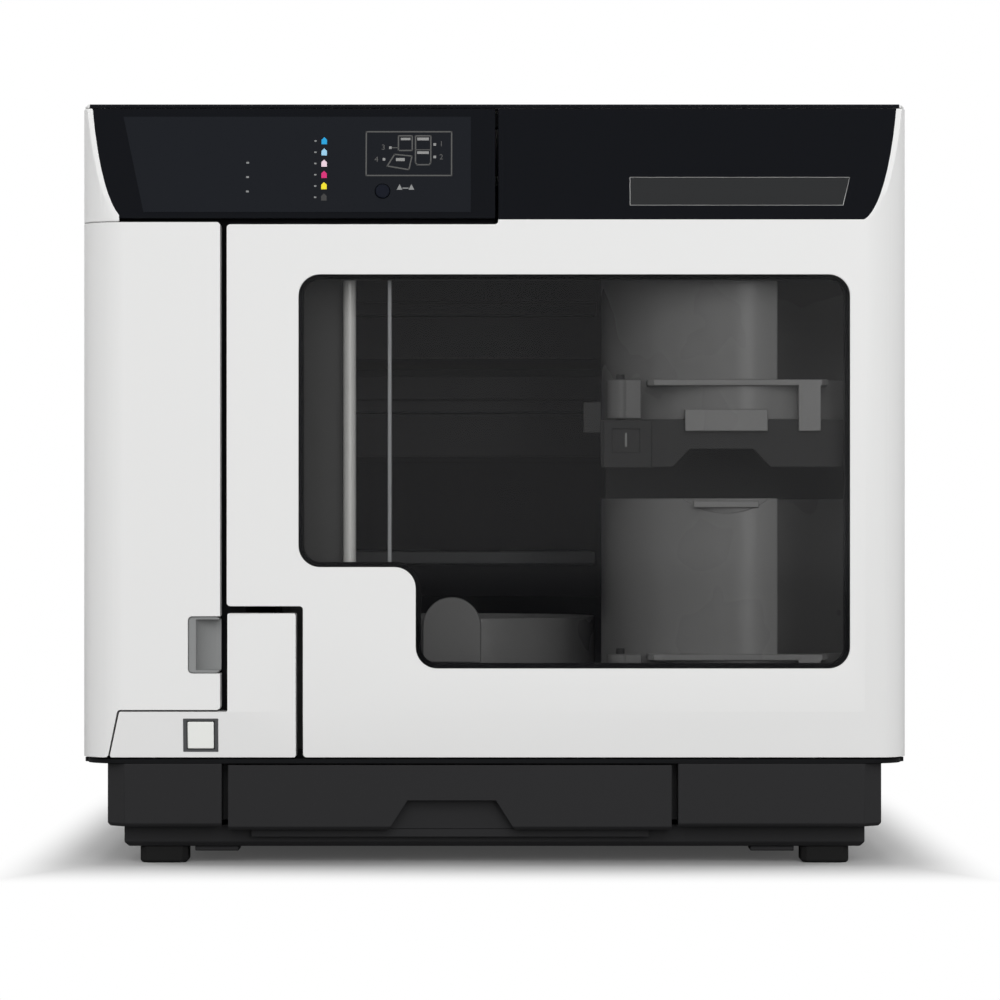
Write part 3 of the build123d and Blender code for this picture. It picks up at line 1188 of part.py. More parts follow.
def make_drives():
    half = DRIVE_WIDTH / 2
    rear = DRIVE_FRONT + DRIVE_DEPTH
    for index, name in ((1, "upper"), (0, "lower")):
        low = DRIVE_LOW + index * DRIVE_PITCH
        high = low + DRIVE_HEIGHT
        case = block(STATION_X - half, STATION_X + half, DRIVE_FRONT, rear, low, high)
        case -= block(
            STATION_X - half + DRIVE_WALL, STATION_X + half - DRIVE_WALL,
            DRIVE_FRONT + DRIVE_WALL * 2, rear - DRIVE_WALL, low + DRIVE_WALL, high - DRIVE_WALL,
        )
        tray_z = low + DRIVE_HEIGHT * 0.55
        slot_half = TRAY_WIDTH / 2 + FIT * 3
        case -= block(
            STATION_X - slot_half, STATION_X + slot_half, DRIVE_FRONT, DRIVE_FRONT + DRIVE_WALL * 2,
            tray_z - FIT * 3, tray_z + TRAY_HEIGHT + FIT * 3,
        )
        bed = block(
            STATION_X - slot_half, STATION_X + slot_half, DRIVE_FRONT + DRIVE_WALL * 2,
            rear - DRIVE_WALL, low + DRIVE_WALL, tray_z - FIT * 3,
        )
        PARTS[f"drive_{name}"] = case + bed
        PARTS[f"drive_{name}_tray"] = disc_tray(tray_z, DRIVE_FRONT)

    plate = SHEET
    side = half + plate
    cage = block(STATION_X - side, STATION_X + side, DRIVE_FRONT + WALL, rear, PRINTER_TOP,
                 DRIVE_LOW)
    for x0 in (STATION_X - side, STATION_X + half):
        cage += block(
            x0, x0 + plate, DRIVE_FRONT + WALL, rear, PRINTER_TOP, DRIVE_LOW + DRIVE_PITCH + DRIVE_HEIGHT
        )
    PARTS["drive_cage"] = cage


def make_printer():
    rear = DRIVE_FRONT + DRIVE_DEPTH
    front = DRIVE_FRONT + FIT
    housing = block(PRINTER_LEFT, PRINTER_RIGHT, front, rear, DECK_TOP, PRINTER_TOP)
    housing -= block(
        PRINTER_LEFT + WALL, PRINTER_RIGHT - WALL, front + WALL, rear - WALL,
        PRINTER_BASE + WALL, PRINTER_TOP,
    )
    housing -= block(
        PRINTER_LEFT + WALL, PRINTER_RIGHT - WALL, front, rear, DECK_TOP, PRINTER_BASE
    )
    slot_half = TRAY_WIDTH / 2 + FIT * 3
    housing -= block(
        STATION_X - slot_half, STATION_X + slot_half, front, front + WALL,
        PRINTER_TRAY_Z - FIT * 3, PRINTER_TRAY_Z + TRAY_HEIGHT + FIT * 3,
    )
    housing += block(
        STATION_X - slot_half, STATION_X + slot_half, front + WALL, rear - WALL,
        PRINTER_BASE, PRINTER_TRAY_Z - FIT * 3,
    )
    PARTS["printer_housing"] = housing
    PARTS["printer_tray"] = disc_tray(PRINTER_TRAY_Z, DRIVE_FRONT)

    start = (PRINTER_LEFT + WALL, RAIL_Y, RAIL_Z)
    length = PRINTER_RIGHT - PRINTER_LEFT - WALL * 2
    PARTS["carriage_rail"] = rod(start, (1, 0, 0), length, RAIL_RADIUS)
    x0 = PRINTER_LEFT + WALL * 2
    z0 = RAIL_Z - PRINT_CARRIAGE_HEIGHT / 2
    carriage = block(
        x0, x0 + PRINT_CARRIAGE_WIDTH, RAIL_Y - PRINT_CARRIAGE_DEPTH / 4,
        RAIL_Y + PRINT_CARRIAGE_DEPTH * 0.75, z0, z0 + PRINT_CARRIAGE_HEIGHT,
    )
    bore = rod((x0, RAIL_Y, RAIL_Z), (1, 0, 0), PRINT_CARRIAGE_WIDTH, RAIL_RADIUS + RUNNING_FIT)
    PARTS["print_carriage"] = carriage - bore


# ---------------------------------------------------------------- ink rack
def make_ink():
    rear = RACK_FRONT + RACK_DEPTH
    top = RACK_BASE + CARTRIDGES * CARTRIDGE_PITCH + RACK_WALL
    rack = block(RACK_LEFT, RACK_RIGHT, RACK_FRONT, rear, DECK_TOP, top)
    rack -= block(
        RACK_LEFT + RACK_WALL, RACK_RIGHT - RACK_WALL, RACK_FRONT, rear - RACK_WALL, DECK_TOP,
        RACK_BASE - RACK_WALL,
    )
    cartridges = []
    for index in range(CARTRIDGES):
        z = RACK_BASE + index * CARTRIDGE_PITCH
        rack -= block(
            RACK_LEFT + RACK_WALL, RACK_RIGHT - RACK_WALL, RACK_FRONT, rear - RACK_WALL,
            z, z + CARTRIDGE_PITCH - RACK_WALL,
        )
        cartridge = block(
            RACK_LEFT + RACK_WALL + FIT, RACK_RIGHT - RACK_WALL - FIT, RACK_FRONT - RACK_WALL,
            rear - RACK_WALL - FIT, z, z + CARTRIDGE_HEIGHT,
        )
        edges = cartridge.faces().sort_by(Axis.Y)[0].edges()
        cartridges.append(chamfer(edges, RACK_WALL / 2))
    PARTS["ink_rack"] = rack
    PARTS["ink_cartridges"] = Compound(cartridges)


# ---------------------------------------------------------------- drawer
def make_drawer():
    front = FRONT + PLINTH_SETBACK
    back = front + DRAWER_FACE
    top = PLINTH_TOP - DRAWER_TOP_GAP
    face = block(DRAWER_LEFT, DRAWER_RIGHT, front, back, DRAWER_LOW, top)
    face = chamfer(face.faces().sort_by(Axis.Y)[0].edges().group_by(Axis.Z)[0], PLINTH_CHAMFER)
    recess_top = DRAWER_LOW + RECESS_TALL
    recess = polygon([
        (RECESS_X - RECESS_HALF_BOTTOM, DRAWER_LOW - 1),
        (RECESS_X + RECESS_HALF_BOTTOM, DRAWER_LOW - 1),
        (RECESS_X + RECESS_HALF_TOP, recess_top),
        (RECESS_X - RECESS_HALF_TOP, recess_top),
    ])
    face -= front_prism(recess, front - 1, front + RECESS_DEPTH)
    for x0, x1 in (
        (DRAWER_LEFT + WALL, RECESS_X - RECESS_HALF_BOTTOM - WALL),
        (RECESS_X + RECESS_HALF_BOTTOM + WALL, DRAWER_RIGHT - WALL),
    ):
        face -= block(x0, x1, front + WALL, back, DRAWER_LOW + WALL, top - WALL)
    middle = (DRAWER_LEFT + DRAWER_RIGHT) / 2
    face += block(
        middle - SKID_HALF, middle + SKID_HALF, back - WALL, back, DRAWER_LOW - SKID_HEIGHT, DRAWER_LOW + WALL
    )
    PARTS["drawer_front"] = face

    half = BIN_INNER + TRAY_SIDE
    rear = STATION_Y + half
    tray = block(STATION_X - half, STATION_X + half, back, rear, TRAY_FLOOR_Z, TRAY_TOP_Z)
    tray -= block(
        STATION_X - half + WALL, STATION_X + half - WALL, back + WALL, rear - WALL,
        TRAY_FLOOR_Z + WALL, TRAY_TOP_Z,
    )
    ring = post(STATION_X, STATION_Y, TRAY_FLOOR_Z, TRAY_TOP_Z, BIN_OUTER)
    ring -= post(STATION_X, STATION_Y, TRAY_FLOOR_Z, TRAY_TOP_Z, BIN_INNER)
    PARTS["drawer_tray"] = tray + ring


# ---------------------------------------------------------------- electronics
def make_electronics():
    left = ELECTRONICS_X + SHEET + WALL * 2
    right = SIDE - WALL * 4
    supply_rear = REAR - WALL * 5
    rear = supply_rear - SUPPLY_DEPTH - SUPPLY_GAP
    wall_y = SHAFT_Y + ((SWEEP + SHEET) ** 2 - (left - SHAFT_X) ** 2) ** 0.5
    front = wall_y + BOARD_FROM_WALL
    low = DECK_TOP + BOARD_LIFT
    board = block(left, right, front, rear, low, low + BOARD)
    for x in (left, right - BOARD_STUD):
        for y in (front, rear - BOARD_STUD):
            board += block(x, x + BOARD_STUD, y, y + BOARD_STUD, DECK_TOP, low + BOARD / 2)
    chip_x = left + BOARD_CHIP / 2
    chip_y = front + BOARD_CHIP_BEHIND
    board += block(
        chip_x, chip_x + BOARD_CHIP, chip_y, chip_y + BOARD_CHIP, low, low + BOARD + BOARD_CHIP_HEIGHT
    )
    sink_x = right - BOARD_CHIP * 1.5
    board += block(
        sink_x, sink_x + BOARD_CHIP, chip_y, chip_y + BOARD_SINK, low, low + BOARD + BOARD_SINK_HEIGHT
    )
    PARTS["main_board"] = board
    PARTS["power_supply"] = block(
        left, right, rear + SUPPLY_GAP, supply_rear, DECK_TOP, DECK_TOP + SUPPLY_HEIGHT
    )

    half = FAN_SIZE / 2
    y1 = REAR - WALL
    y0 = y1 - FAN_DEPTH
    frame = block(FAN_X - half, FAN_X + half, y0, y1, FAN_Z - half, FAN_Z + half)
    frame = chamfer(frame.edges().filter_by(Axis.Y), WALL * 2)
    centre = (FAN_X, y0, FAN_Z)
    frame -= rod(centre, (0, 1, 0), FAN_DEPTH, FAN_BORE)
    strut = SHEET
    for angle in (45, 135):
        turn = Pos(FAN_X, y0 + strut, FAN_Z) * Rot(0, angle, 0)
        frame += turn * Box(FAN_BORE * 2 + WALL, strut * 2, WALL * 2)
    frame += rod(centre, (0, 1, 0), FAN_DEPTH * 0.8, AXLE_RADIUS * 2)
    PARTS["fan_frame"] = frame

    rotor_y = y0 + strut * 2 + WALL
    rotor_length = FAN_DEPTH * 0.6
    rotor = rod((FAN_X, rotor_y, FAN_Z), (0, 1, 0), rotor_length, FAN_HUB)
    for index in range(FAN_BLADES):
        blade = Pos((FAN_HUB + FAN_BORE) / 2 - WALL, 0, 0) * Rot(35, 0, 0)
        blade = blade * Box(FAN_BORE - FAN_HUB, rotor_length, SHEET)
        spin = Pos(FAN_X, rotor_y + rotor_length / 2, FAN_Z) * Rot(0, index * 360 / FAN_BLADES, 0)
        rotor += spin * blade
    rotor -= rod((FAN_X, rotor_y - WALL, FAN_Z), (0, 1, 0), FAN_DEPTH, AXLE_RADIUS * 2 + RUNNING_FIT)
    PARTS["fan_rotor"] = rotor

    back = REAR - WALL * 5
    inlet = socket_block(0, back, REAR)
    inlet -= block(
        FAN_X - SOCKET_WIDTH / 2 + SOCKET_WALL, FAN_X + SOCKET_WIDTH / 2 - SOCKET_WALL, back + WALL,
        REAR, SOCKET_Z - SOCKET_HEIGHT / 2 + SOCKET_WALL, SOCKET_Z + SOCKET_HEIGHT / 2 - SOCKET_WALL,
    )
    for offset in (-PIN_PITCH, 0, PIN_PITCH):
        x = FAN_X + offset - PIN_WIDTH / 2
        z = SOCKET_Z - PIN_HEIGHT / 2
        inlet += block(x, x + PIN_WIDTH, back + WALL, REAR - WALL, z, z + PIN_HEIGHT)
    port = port_block(0, back, REAR) - port_block(PORT_WALL, REAR - WALL * 3, REAR)
    port += port_block(PORT_HEIGHT / 3, REAR - WALL * 4, REAR - WALL)
    PARTS["rear_sockets"] = Compound([inlet.solid(), port.solid()])


def main():
    make_base()
    make_plinth()
    make_deck()
    make_frame()
    make_door()
    make_ink_cover()
    make_lower_panel()
    make_control_panel()
    make_case()
    make_bay()
    make_column()
    make_belt()
    make_arm()
    make_bins()
    make_drives()
    make_printer()
    make_ink()
    make_drawer()
    make_electronics()
    os.makedirs("parts", exist_ok=True)
    for name, shape in PARTS.items():
        export_step(shape, f"parts/{name}.step")
    print(len(PARTS), "nodes")
    print("arm length", round(ARM_LENGTH, 3), "angles", round(BIN_ANGLE, 3), DEEP_BIN_ANGLE)
    print("station", round(STATION_X, 3), round(STATION_Y, 3))


main()
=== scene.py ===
# %% [markdown]
# # A disc label printer
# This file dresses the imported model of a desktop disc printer. The exact solids come from the
# frame, so nothing here measures or fits: a piece goes where its solid is. Real machines of this
# kind have a white moulded case with soft edges, a black tilted band, a smoked window and a dark
# inside, and these are the things that the cells below give it.

# %% Load the frame
import json
from math import cos, pi, radians, sin, tan

import bmesh
import bpy
from mathutils import Matrix, Vector


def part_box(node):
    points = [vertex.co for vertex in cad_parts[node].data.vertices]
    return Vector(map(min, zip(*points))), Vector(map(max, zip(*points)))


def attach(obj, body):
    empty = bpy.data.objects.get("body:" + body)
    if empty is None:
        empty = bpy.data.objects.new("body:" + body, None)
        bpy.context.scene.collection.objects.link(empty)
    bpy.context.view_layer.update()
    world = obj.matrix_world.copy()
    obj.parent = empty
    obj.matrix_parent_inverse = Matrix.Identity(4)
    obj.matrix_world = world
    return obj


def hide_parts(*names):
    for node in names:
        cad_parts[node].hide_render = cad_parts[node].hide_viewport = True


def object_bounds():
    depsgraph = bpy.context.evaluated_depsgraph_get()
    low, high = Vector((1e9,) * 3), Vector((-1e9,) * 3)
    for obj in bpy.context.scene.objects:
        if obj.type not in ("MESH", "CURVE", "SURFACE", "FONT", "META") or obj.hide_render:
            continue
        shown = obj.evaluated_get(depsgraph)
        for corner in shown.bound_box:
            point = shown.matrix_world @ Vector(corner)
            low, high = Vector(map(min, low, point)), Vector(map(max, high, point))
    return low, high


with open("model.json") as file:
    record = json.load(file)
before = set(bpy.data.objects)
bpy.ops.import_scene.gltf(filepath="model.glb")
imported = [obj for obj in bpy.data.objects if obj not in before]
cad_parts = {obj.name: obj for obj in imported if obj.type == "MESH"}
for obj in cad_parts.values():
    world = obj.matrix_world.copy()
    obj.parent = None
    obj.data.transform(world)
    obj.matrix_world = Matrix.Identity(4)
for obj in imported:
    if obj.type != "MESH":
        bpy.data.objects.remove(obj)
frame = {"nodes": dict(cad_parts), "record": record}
cad_box = [list(corner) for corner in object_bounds()]
record = frame["record"]
slot_of = {part["node"]: part["material_slot"] for part in record["subparts"]}
body_of_node = {
    node: body for body, nodes in record["behaviour"]["bodies"].items() for node in nodes
}
scene = bpy.context.scene
MM = 0.001
print("nodes", len(slot_of), "box", cad_box)

# %% [markdown]
# ## Camera
# The photograph looks straight at the front from a couple of metres away, so the sides don't
# show. A long lens keeps that flat look. The small shifts place the machine in the picture as
# the photograph does, without turning the camera.

# %% Camera
CAMERA_DISTANCE = 2.2
CAMERA_HEIGHT = 0.160
FIELD_AT_FRONT = 0.4555
front_y = cad_box[0][1]
camera_data = bpy.data.cameras.new("camera")
camera_data.sensor_width = 36.0
camera_data.lens = 36.0 * CAMERA_DISTANCE / FIELD_AT_FRONT
camera_data.shift_x = 0.0055
camera_data.shift_y = 0.0149
camera_data.clip_end = 50.0
camera = bpy.data.objects.new("camera", camera_data)
camera.location = (0, front_y - CAMERA_DISTANCE, CAMERA_HEIGHT)
camera.rotation_euler = (radians(90), 0, 0)
scene.collection.objects.link(camera)
scene.camera = camera
scene.view_settings.view_transform = "Standard"

# %% [markdown]
# ## Shader helpers
# A material is a small tree of nodes. These helpers shorten the lines that add a node and join
# its sockets. Every pattern reads Object coordinates, in metres, so it stays on its piece.


# %% Shader helpers
def add(tree, kind, **inputs):
    """Adds a node and sets its inputs by name."""
    node = tree.nodes.new(kind)
    for name, value in inputs.items():
        node.inputs[name.replace("_", " ")].default_value = value
    return node


def join(tree, source, target):
    tree.links.new(source, target)


def new_group(name, inputs, outputs):
    """An empty shader group with named inputs and outputs."""
    group = bpy.data.node_groups.new(name, "ShaderNodeTree")
    for label, kind, value in inputs:
        socket = group.interface.new_socket(label, in_out="INPUT", socket_type=kind)
        if value is not None:
            socket.default_value = value
    for label, kind in outputs:
        group.interface.new_socket(label, in_out="OUTPUT", socket_type=kind)
    return group, group.nodes.new("NodeGroupInput"), group.nodes.new("NodeGroupOutput")


# %% [markdown]
# ## Grain, tone and dust
# Moulded plastic is never one flat colour. The tool that made it leaves a fine spark-eroded
# grain, the colour drifts a little over a large cover, and dust settles on what faces up. Each
# is one group of nodes, placed in many materials with its own numbers.


# %% Group: fine grain
def build_grain():
    floats = "NodeSocketFloat"
    group, enter, leave = new_group(
        "fine_grain",
        [
            ("Scale", floats, 1800.0),
            ("Depth", floats, 0.1),
            ("Stretch", "NodeSocketVector", (1, 1, 1)),
        ],
        [("Normal", "NodeSocketVector"), ("Height", floats)],
    )
    place = group.nodes.new("ShaderNodeTexCoord")
    scale = group.nodes.new("ShaderNodeVectorMath")
    scale.operation = "MULTIPLY"
    join(group, place.outputs["Object"], scale.inputs[0])
    join(group, enter.outputs["Stretch"], scale.inputs[1])
    noise = add(group, "ShaderNodeTexNoise", Detail=2.0, Roughness=0.6)
    join(group, scale.outputs[0], noise.inputs["Vector"])
    join(group, enter.outputs["Scale"], noise.inputs["Scale"])
    bump = add(group, "ShaderNodeBump", Distance=0.00004)
    join(group, noise.outputs["Fac"], bump.inputs["Height"])
    join(group, enter.outputs["Depth"], bump.inputs["Strength"])
    join(group, bump.outputs["Normal"], leave.inputs["Normal"])
    join(group, noise.outputs["Fac"], leave.inputs["Height"])
    return group


grain_group = build_grain()


# %% Group: tone over a large part
def build_tone():
    floats = "NodeSocketFloat"
    group, enter, leave = new_group(
        "tone_drift",
        [
            ("Color", "NodeSocketColor", (0.8, 0.8, 0.8, 1)),
            ("Amount", floats, 0.05),
            ("Rough", floats, 0.4),
            ("Rough Drift", floats, 0.06),
            ("Scale", floats, 14.0),
        ],
        [("Color", "NodeSocketColor"), ("Roughness", floats)],
    )
    place = group.nodes.new("ShaderNodeTexCoord")
    noise = add(group, "ShaderNodeTexNoise", Detail=3.0)
    join(group, place.outputs["Object"], noise.inputs["Vector"])
    join(group, enter.outputs["Scale"], noise.inputs["Scale"])
    centre = group.nodes.new("ShaderNodeMath")
    centre.operation = "SUBTRACT"
    centre.inputs[1].default_value = 0.5
    join(group, noise.outputs["Fac"], centre.inputs[0])
    swing = group.nodes.new("ShaderNodeMath")
    swing.operation = "MULTIPLY_ADD"
    swing.inputs[2].default_value = 1.0
    join(group, centre.outputs[0], swing.inputs[0])
    join(group, enter.outputs["Amount"], swing.inputs[1])
    tint = group.nodes.new("ShaderNodeVectorMath")
    tint.operation = "SCALE"
    join(group, enter.outputs["Color"], tint.inputs[0])
    join(group, swing.outputs[0], tint.inputs["Scale"])
    join(group, tint.outputs[0], leave.inputs["Color"])
    rough = group.nodes.new("ShaderNodeMath")
    rough.operation = "MULTIPLY_ADD"
    join(group, centre.outputs[0], rough.inputs[0])
    join(group, enter.outputs["Rough Drift"], rough.inputs[1])
    join(group, enter.outputs["Rough"], rough.inputs[2])
    join(group, rough.outputs[0], leave.inputs["Roughness"])
    return group


tone_group = build_tone()


# %% Group: settled dust
def build_dust():
    floats = "NodeSocketFloat"
    group, enter, leave = new_group(
        "settled_dust",
        [
            ("Color", "NodeSocketColor", (0.5, 0.5, 0.5, 1)),
            ("Dust", "NodeSocketColor", (0.45, 0.43, 0.4, 1)),
            ("Amount", floats, 0.1),
        ],
        [("Color", "NodeSocketColor")],
    )
    shape = group.nodes.new("ShaderNodeNewGeometry")
    split = group.nodes.new("ShaderNodeSeparateXYZ")
    join(group, shape.outputs["Normal"], split.inputs[0])
    facing = add(group, "ShaderNodeMapRange", From_Min=0.75, From_Max=1.0)
    join(group, split.outputs["Z"], facing.inputs["Value"])
    place = group.nodes.new("ShaderNodeTexCoord")
    noise = add(group, "ShaderNodeTexNoise", Scale=320.0, Detail=4.0)
    join(group, place.outputs["Object"], noise.inputs["Vector"])
    specks = group.nodes.new("ShaderNodeMath")
    specks.operation = "MULTIPLY"
    join(group, facing.outputs["Result"], specks.inputs[0])
    join(group, noise.outputs["Fac"], specks.inputs[1])
    share = group.nodes.new("ShaderNodeMath")
    share.operation = "MULTIPLY"
    join(group, specks.outputs[0], share.inputs[0])
    join(group, enter.outputs["Amount"], share.inputs[1])
    mix = group.nodes.new("ShaderNodeMix")
    mix.data_type = "RGBA"
    join(group, share.outputs[0], mix.inputs["Factor"])
    join(group, enter.outputs["Color"], mix.inputs["A"])
    join(group, enter.outputs["Dust"], mix.inputs["B"])
    join(group, mix.outputs["Result"], leave.inputs["Color"])
    return group


dust_group = build_dust()
print("groups", [g.name for g in (grain_group, tone_group, dust_group)])

# %% [markdown]
# ## The finishes
# Every slot of the record gets one material. Most are a moulded plastic: the tone group gives
# colour and roughness, the dust group lightens what faces up, and the grain group gives the
# normal. The numbers differ: the band is a smoother mould than the plinth, and the black parts
# reflect little, as etched black plastic does.


# %% Plastics
def plastic(name, color, rough, grain=0.12, scale=1800.0, dust=0.0, specular=0.5, drift=0.05,
            coat=0.0, stretch=(1, 1, 1)):
    """A moulded plastic with a fine grain, a slight drift of tone and a little dust."""
    material = bpy.data.materials.new(name)
    material.use_nodes = True
    tree = material.node_tree
    surface = tree.nodes["Principled BSDF"]
    tone = tree.nodes.new("ShaderNodeGroup")
    tone.node_tree = tone_group
    tone.inputs["Color"].default_value = (*color, 1)
    tone.inputs["Amount"].default_value = drift
    tone.inputs["Rough"].default_value = rough
    settled = tree.nodes.new("ShaderNodeGroup")
    settled.node_tree = dust_group
    settled.inputs["Amount"].default_value = dust
    join(tree, tone.outputs["Color"], settled.inputs["Color"])
    join(tree, settled.outputs["Color"], surface.inputs["Base Color"])
    join(tree, tone.outputs["Roughness"], surface.inputs["Roughness"])
    texture = tree.nodes.new("ShaderNodeGroup")
    texture.node_tree = grain_group
    texture.inputs["Scale"].default_value = scale
    texture.inputs["Depth"].default_value = grain
    texture.inputs["Stretch"].default_value = stretch
    join(tree, texture.outputs["Normal"], surface.inputs["Normal"])
    surface.inputs["Specular IOR Level"].default_value = specular
    surface.inputs["Coat Weight"].default_value = coat
    surface.inputs["Coat Roughness"].default_value = 0.12
    material.diffuse_color = (*color, 1)
    return material


# colour, roughness, grain depth and scale, dust, specular level, drift of tone
MOULDED = {
    "white_case": ((0.78, 0.78, 0.775), 0.42, 0.08, 2200, 0.05, 0.35, 0.012),
    "black_band": ((0.0052, 0.0058, 0.0076), 0.36, 0.04, 2600, 0.03, 0.035, 0.08),
    "membrane": ((0.0105, 0.0118, 0.0150), 0.32, 0.02, 3000, 0.02, 0.040, 0.08),
    "black_plinth": ((0.020, 0.020, 0.021), 0.55, 0.25, 1500, 0.08, 0.14, 0.08),
    "dark_frame": ((0.0075, 0.0078, 0.0085), 0.60, 0.08, 1500, 0.04, 0.06, 0.06),
    "lamp_window": ((0.024, 0.025, 0.026), 0.22, 0.0, 1500, 0.02, 0.06, 0.05),
    "key_white": ((0.86, 0.87, 0.84), 0.20, 0.02, 1500, 0.0, 0.5, 0.02),
    "round_key": ((0.0075, 0.0090, 0.0150), 0.30, 0.02, 1500, 0.0, 0.05, 0.05),
    "grip_grey": ((0.235, 0.24, 0.24), 0.45, 0.12, 1500, 0.0, 0.3, 0.06),
    "column_grey": ((0.085, 0.085, 0.083), 0.50, 0.10, 1500, 0.05, 0.25, 0.05),
    "bin_grey": ((0.235, 0.235, 0.232), 0.28, 0.05, 1600, 0.04, 0.45, 0.03),
    "holder_black": ((0.038, 0.038, 0.038), 0.48, 0.10, 1500, 0.05, 0.25, 0.06),
    "lever_grey": ((0.14, 0.14, 0.138), 0.35, 0.05, 1500, 0.02, 0.5, 0.03),
    "rear_paint": ((0.045, 0.045, 0.047), 0.62, 0.50, 900, 0.05, 0.30, 0.12),
    "rubber": ((0.014, 0.014, 0.014), 0.85, 0.35, 1100, 0.08, 0.12, 0.15),
    "belt_rubber": ((0.020, 0.020, 0.020), 0.75, 0.25, 1400, 0.0, 0.20, 0.15),
    "board_green": ((0.016, 0.10, 0.035), 0.35, 0.20, 700, 0.08, 0.5, 0.20),
    "ink_black": ((0.045, 0.045, 0.048), 0.40, 0.12, 1500, 0.03, 0.4, 0.08),
    "tray_black": ((0.016, 0.016, 0.017), 0.42, 0.10, 1500, 0.03, 0.20, 0.08),
    "machine_grey": ((0.065, 0.067, 0.069), 0.45, 0.12, 1500, 0.04, 0.4, 0.05),
}
COAT = {"key_white": 0.4}
finish = {
    name: plastic(name, *numbers, coat=COAT.get(name, 0.0)) for name, numbers in MOULDED.items()
}
print("plastics", len(finish))

# %% [markdown]
# ## Metals
# Sheet steel is rolled, so its grain runs one way, and it is only half dull. The arm's shaft is
# ground and polished. Both are made by stretching the same grain group along one axis. A true
# mirror in the dark bay would show only the dark, and the photograph shows a pale shaft, so the
# shaft is metallic by a tenth and gets the rest of its tone from its pale colour, a painted
# reflection that stands in for the shine of the polished steel.


# %% Metals
def metal(name, color, rough, grain, scale, stretch, metallic=1.0):
    """A bare or plated metal whose grain runs along one axis."""
    material = plastic(name, color, rough, grain, scale, 0.0, 0.5, 0.08, stretch=stretch)
    material.node_tree.nodes["Principled BSDF"].inputs["Metallic"].default_value = metallic
    return material


# colour, roughness, grain depth and scale, stretch of the grain, metallic
STEELS = {
    # the shaft's pale colour is a painted reflection, with a metallic share of a tenth
    "polished_steel": ((0.93, 0.93, 0.90), 0.30, 0.06, 900, (1, 1, 0.05), 0.1),
    "sheet_steel": ((0.46, 0.47, 0.48), 0.42, 0.20, 1200, (0.05, 1, 1), 1.0),
    "motor_steel": ((0.28, 0.28, 0.28), 0.40, 0.20, 1200, (1, 0.05, 1), 1.0),
}
finish |= {name: metal(name, *numbers) for name, numbers in STEELS.items()}
print("metals", len(STEELS))

# %% [markdown]
# ## Smoked window
# The window is a smoked clear pane. A render of true refraction through it would need very many
# samples to light the dark bay behind, so the pane lets part of the light straight through with
# Alpha, and keeps a real gloss on its face. A fine noise in the roughness stands for the faint
# haze of a wiped pane.


# %% Smoked pane
def smoked_pane(name, color, alpha, rough):
    material = bpy.data.materials.new(name)
    material.use_nodes = True
    tree = material.node_tree
    surface = tree.nodes["Principled BSDF"]
    surface.inputs["Base Color"].default_value = (*color, 1)
    surface.inputs["Alpha"].default_value = alpha
    surface.inputs["Specular IOR Level"].default_value = 0.5
    place = tree.nodes.new("ShaderNodeTexCoord")
    noise = add(tree, "ShaderNodeTexNoise", Scale=60.0, Detail=3.0)
    join(tree, place.outputs["Object"], noise.inputs["Vector"])
    haze = tree.nodes.new("ShaderNodeMath")
    haze.operation = "MULTIPLY_ADD"
    haze.inputs[1].default_value = 0.05
    haze.inputs[2].default_value = rough
    join(tree, noise.outputs["Fac"], haze.inputs[0])
    join(tree, haze.outputs[0], surface.inputs["Roughness"])
    material.diffuse_color = (*color, alpha)
    return material


finish["smoked_window"] = smoked_pane("smoked_window", (0.004, 0.004, 0.005), 0.22, 0.03)
print("finishes", len(finish), "of", len(record["materials"]))

# %% [markdown]
# ## Soft edges
# No moulded edge is sharp. The solids have crisp edges, so each shown node is replaced by a copy
# whose edges are rounded a little, and the highlight along the edge is what tells the eye that
# the part is plastic. The copy is merged and its flat faces are joined first, because a bevel
# needs clean edges, and then the faces are split until all are convex, because a face with an
# opening in it folds over once its corners move. Where the rounding is too wide for a small
# fillet beside it, a corner shoots out of the solid's box, and the node takes a finer one.
# Weighted normals keep the large faces flat.


# %% Soft copies of the solids
MERGE_DISTANCE = 2e-6
FLAT_ANGLE = radians(0.6)
SMOOTH_ANGLE = radians(28)
SOFT_ANGLE = radians(40)
BEVEL_SEGMENTS = 2


def merged_copy(node, name):
    """A clean mesh of a node: doubles merged, flat faces joined, smooth where it curves."""
    mesh = frame["nodes"][node].data.copy()
    mesh.name = name
    mesh.materials.clear()
    work = bmesh.new()
    work.from_mesh(mesh)
    bmesh.ops.remove_doubles(work, verts=work.verts, dist=MERGE_DISTANCE)
    bmesh.ops.dissolve_limit(work, angle_limit=FLAT_ANGLE, verts=work.verts, edges=work.edges)
    bmesh.ops.connect_verts_concave(work, faces=work.faces)
    for face in work.faces:
        face.smooth = True
    for edge in work.edges:
        edge.smooth = len(edge.link_faces) == 2 and edge.calc_face_angle(pi) < SMOOTH_ANGLE
    work.to_mesh(mesh)
    work.free()
    if "custom_normal" in mesh.attributes:
        mesh.attributes.remove(mesh.attributes["custom_normal"])
    piece = bpy.data.objects.new(name, mesh)
    scene.collection.objects.link(piece)
    return piece


def as_plain_mesh(piece):
    """Applies the modifiers and removes them."""
    evaluated = piece.evaluated_get(bpy.context.evaluated_depsgraph_get())
    mesh = bpy.data.meshes.new_from_object(evaluated)
    mesh.name = piece.name
    piece.modifiers.clear()
    piece.data = mesh
    return piece


OUT_SLACK = 0.03 * MM
SHARES = (1.0, 0.5, 0.25, 0.12, 0.0)
shares = {}


def stays_inside(mesh, low, high):
    """Whether no corner of a mesh lies outside a box."""
    return all(
        low[axis] - OUT_SLACK < point.co[axis] < high[axis] + OUT_SLACK
        for point in mesh.vertices for axis in range(3)
    )


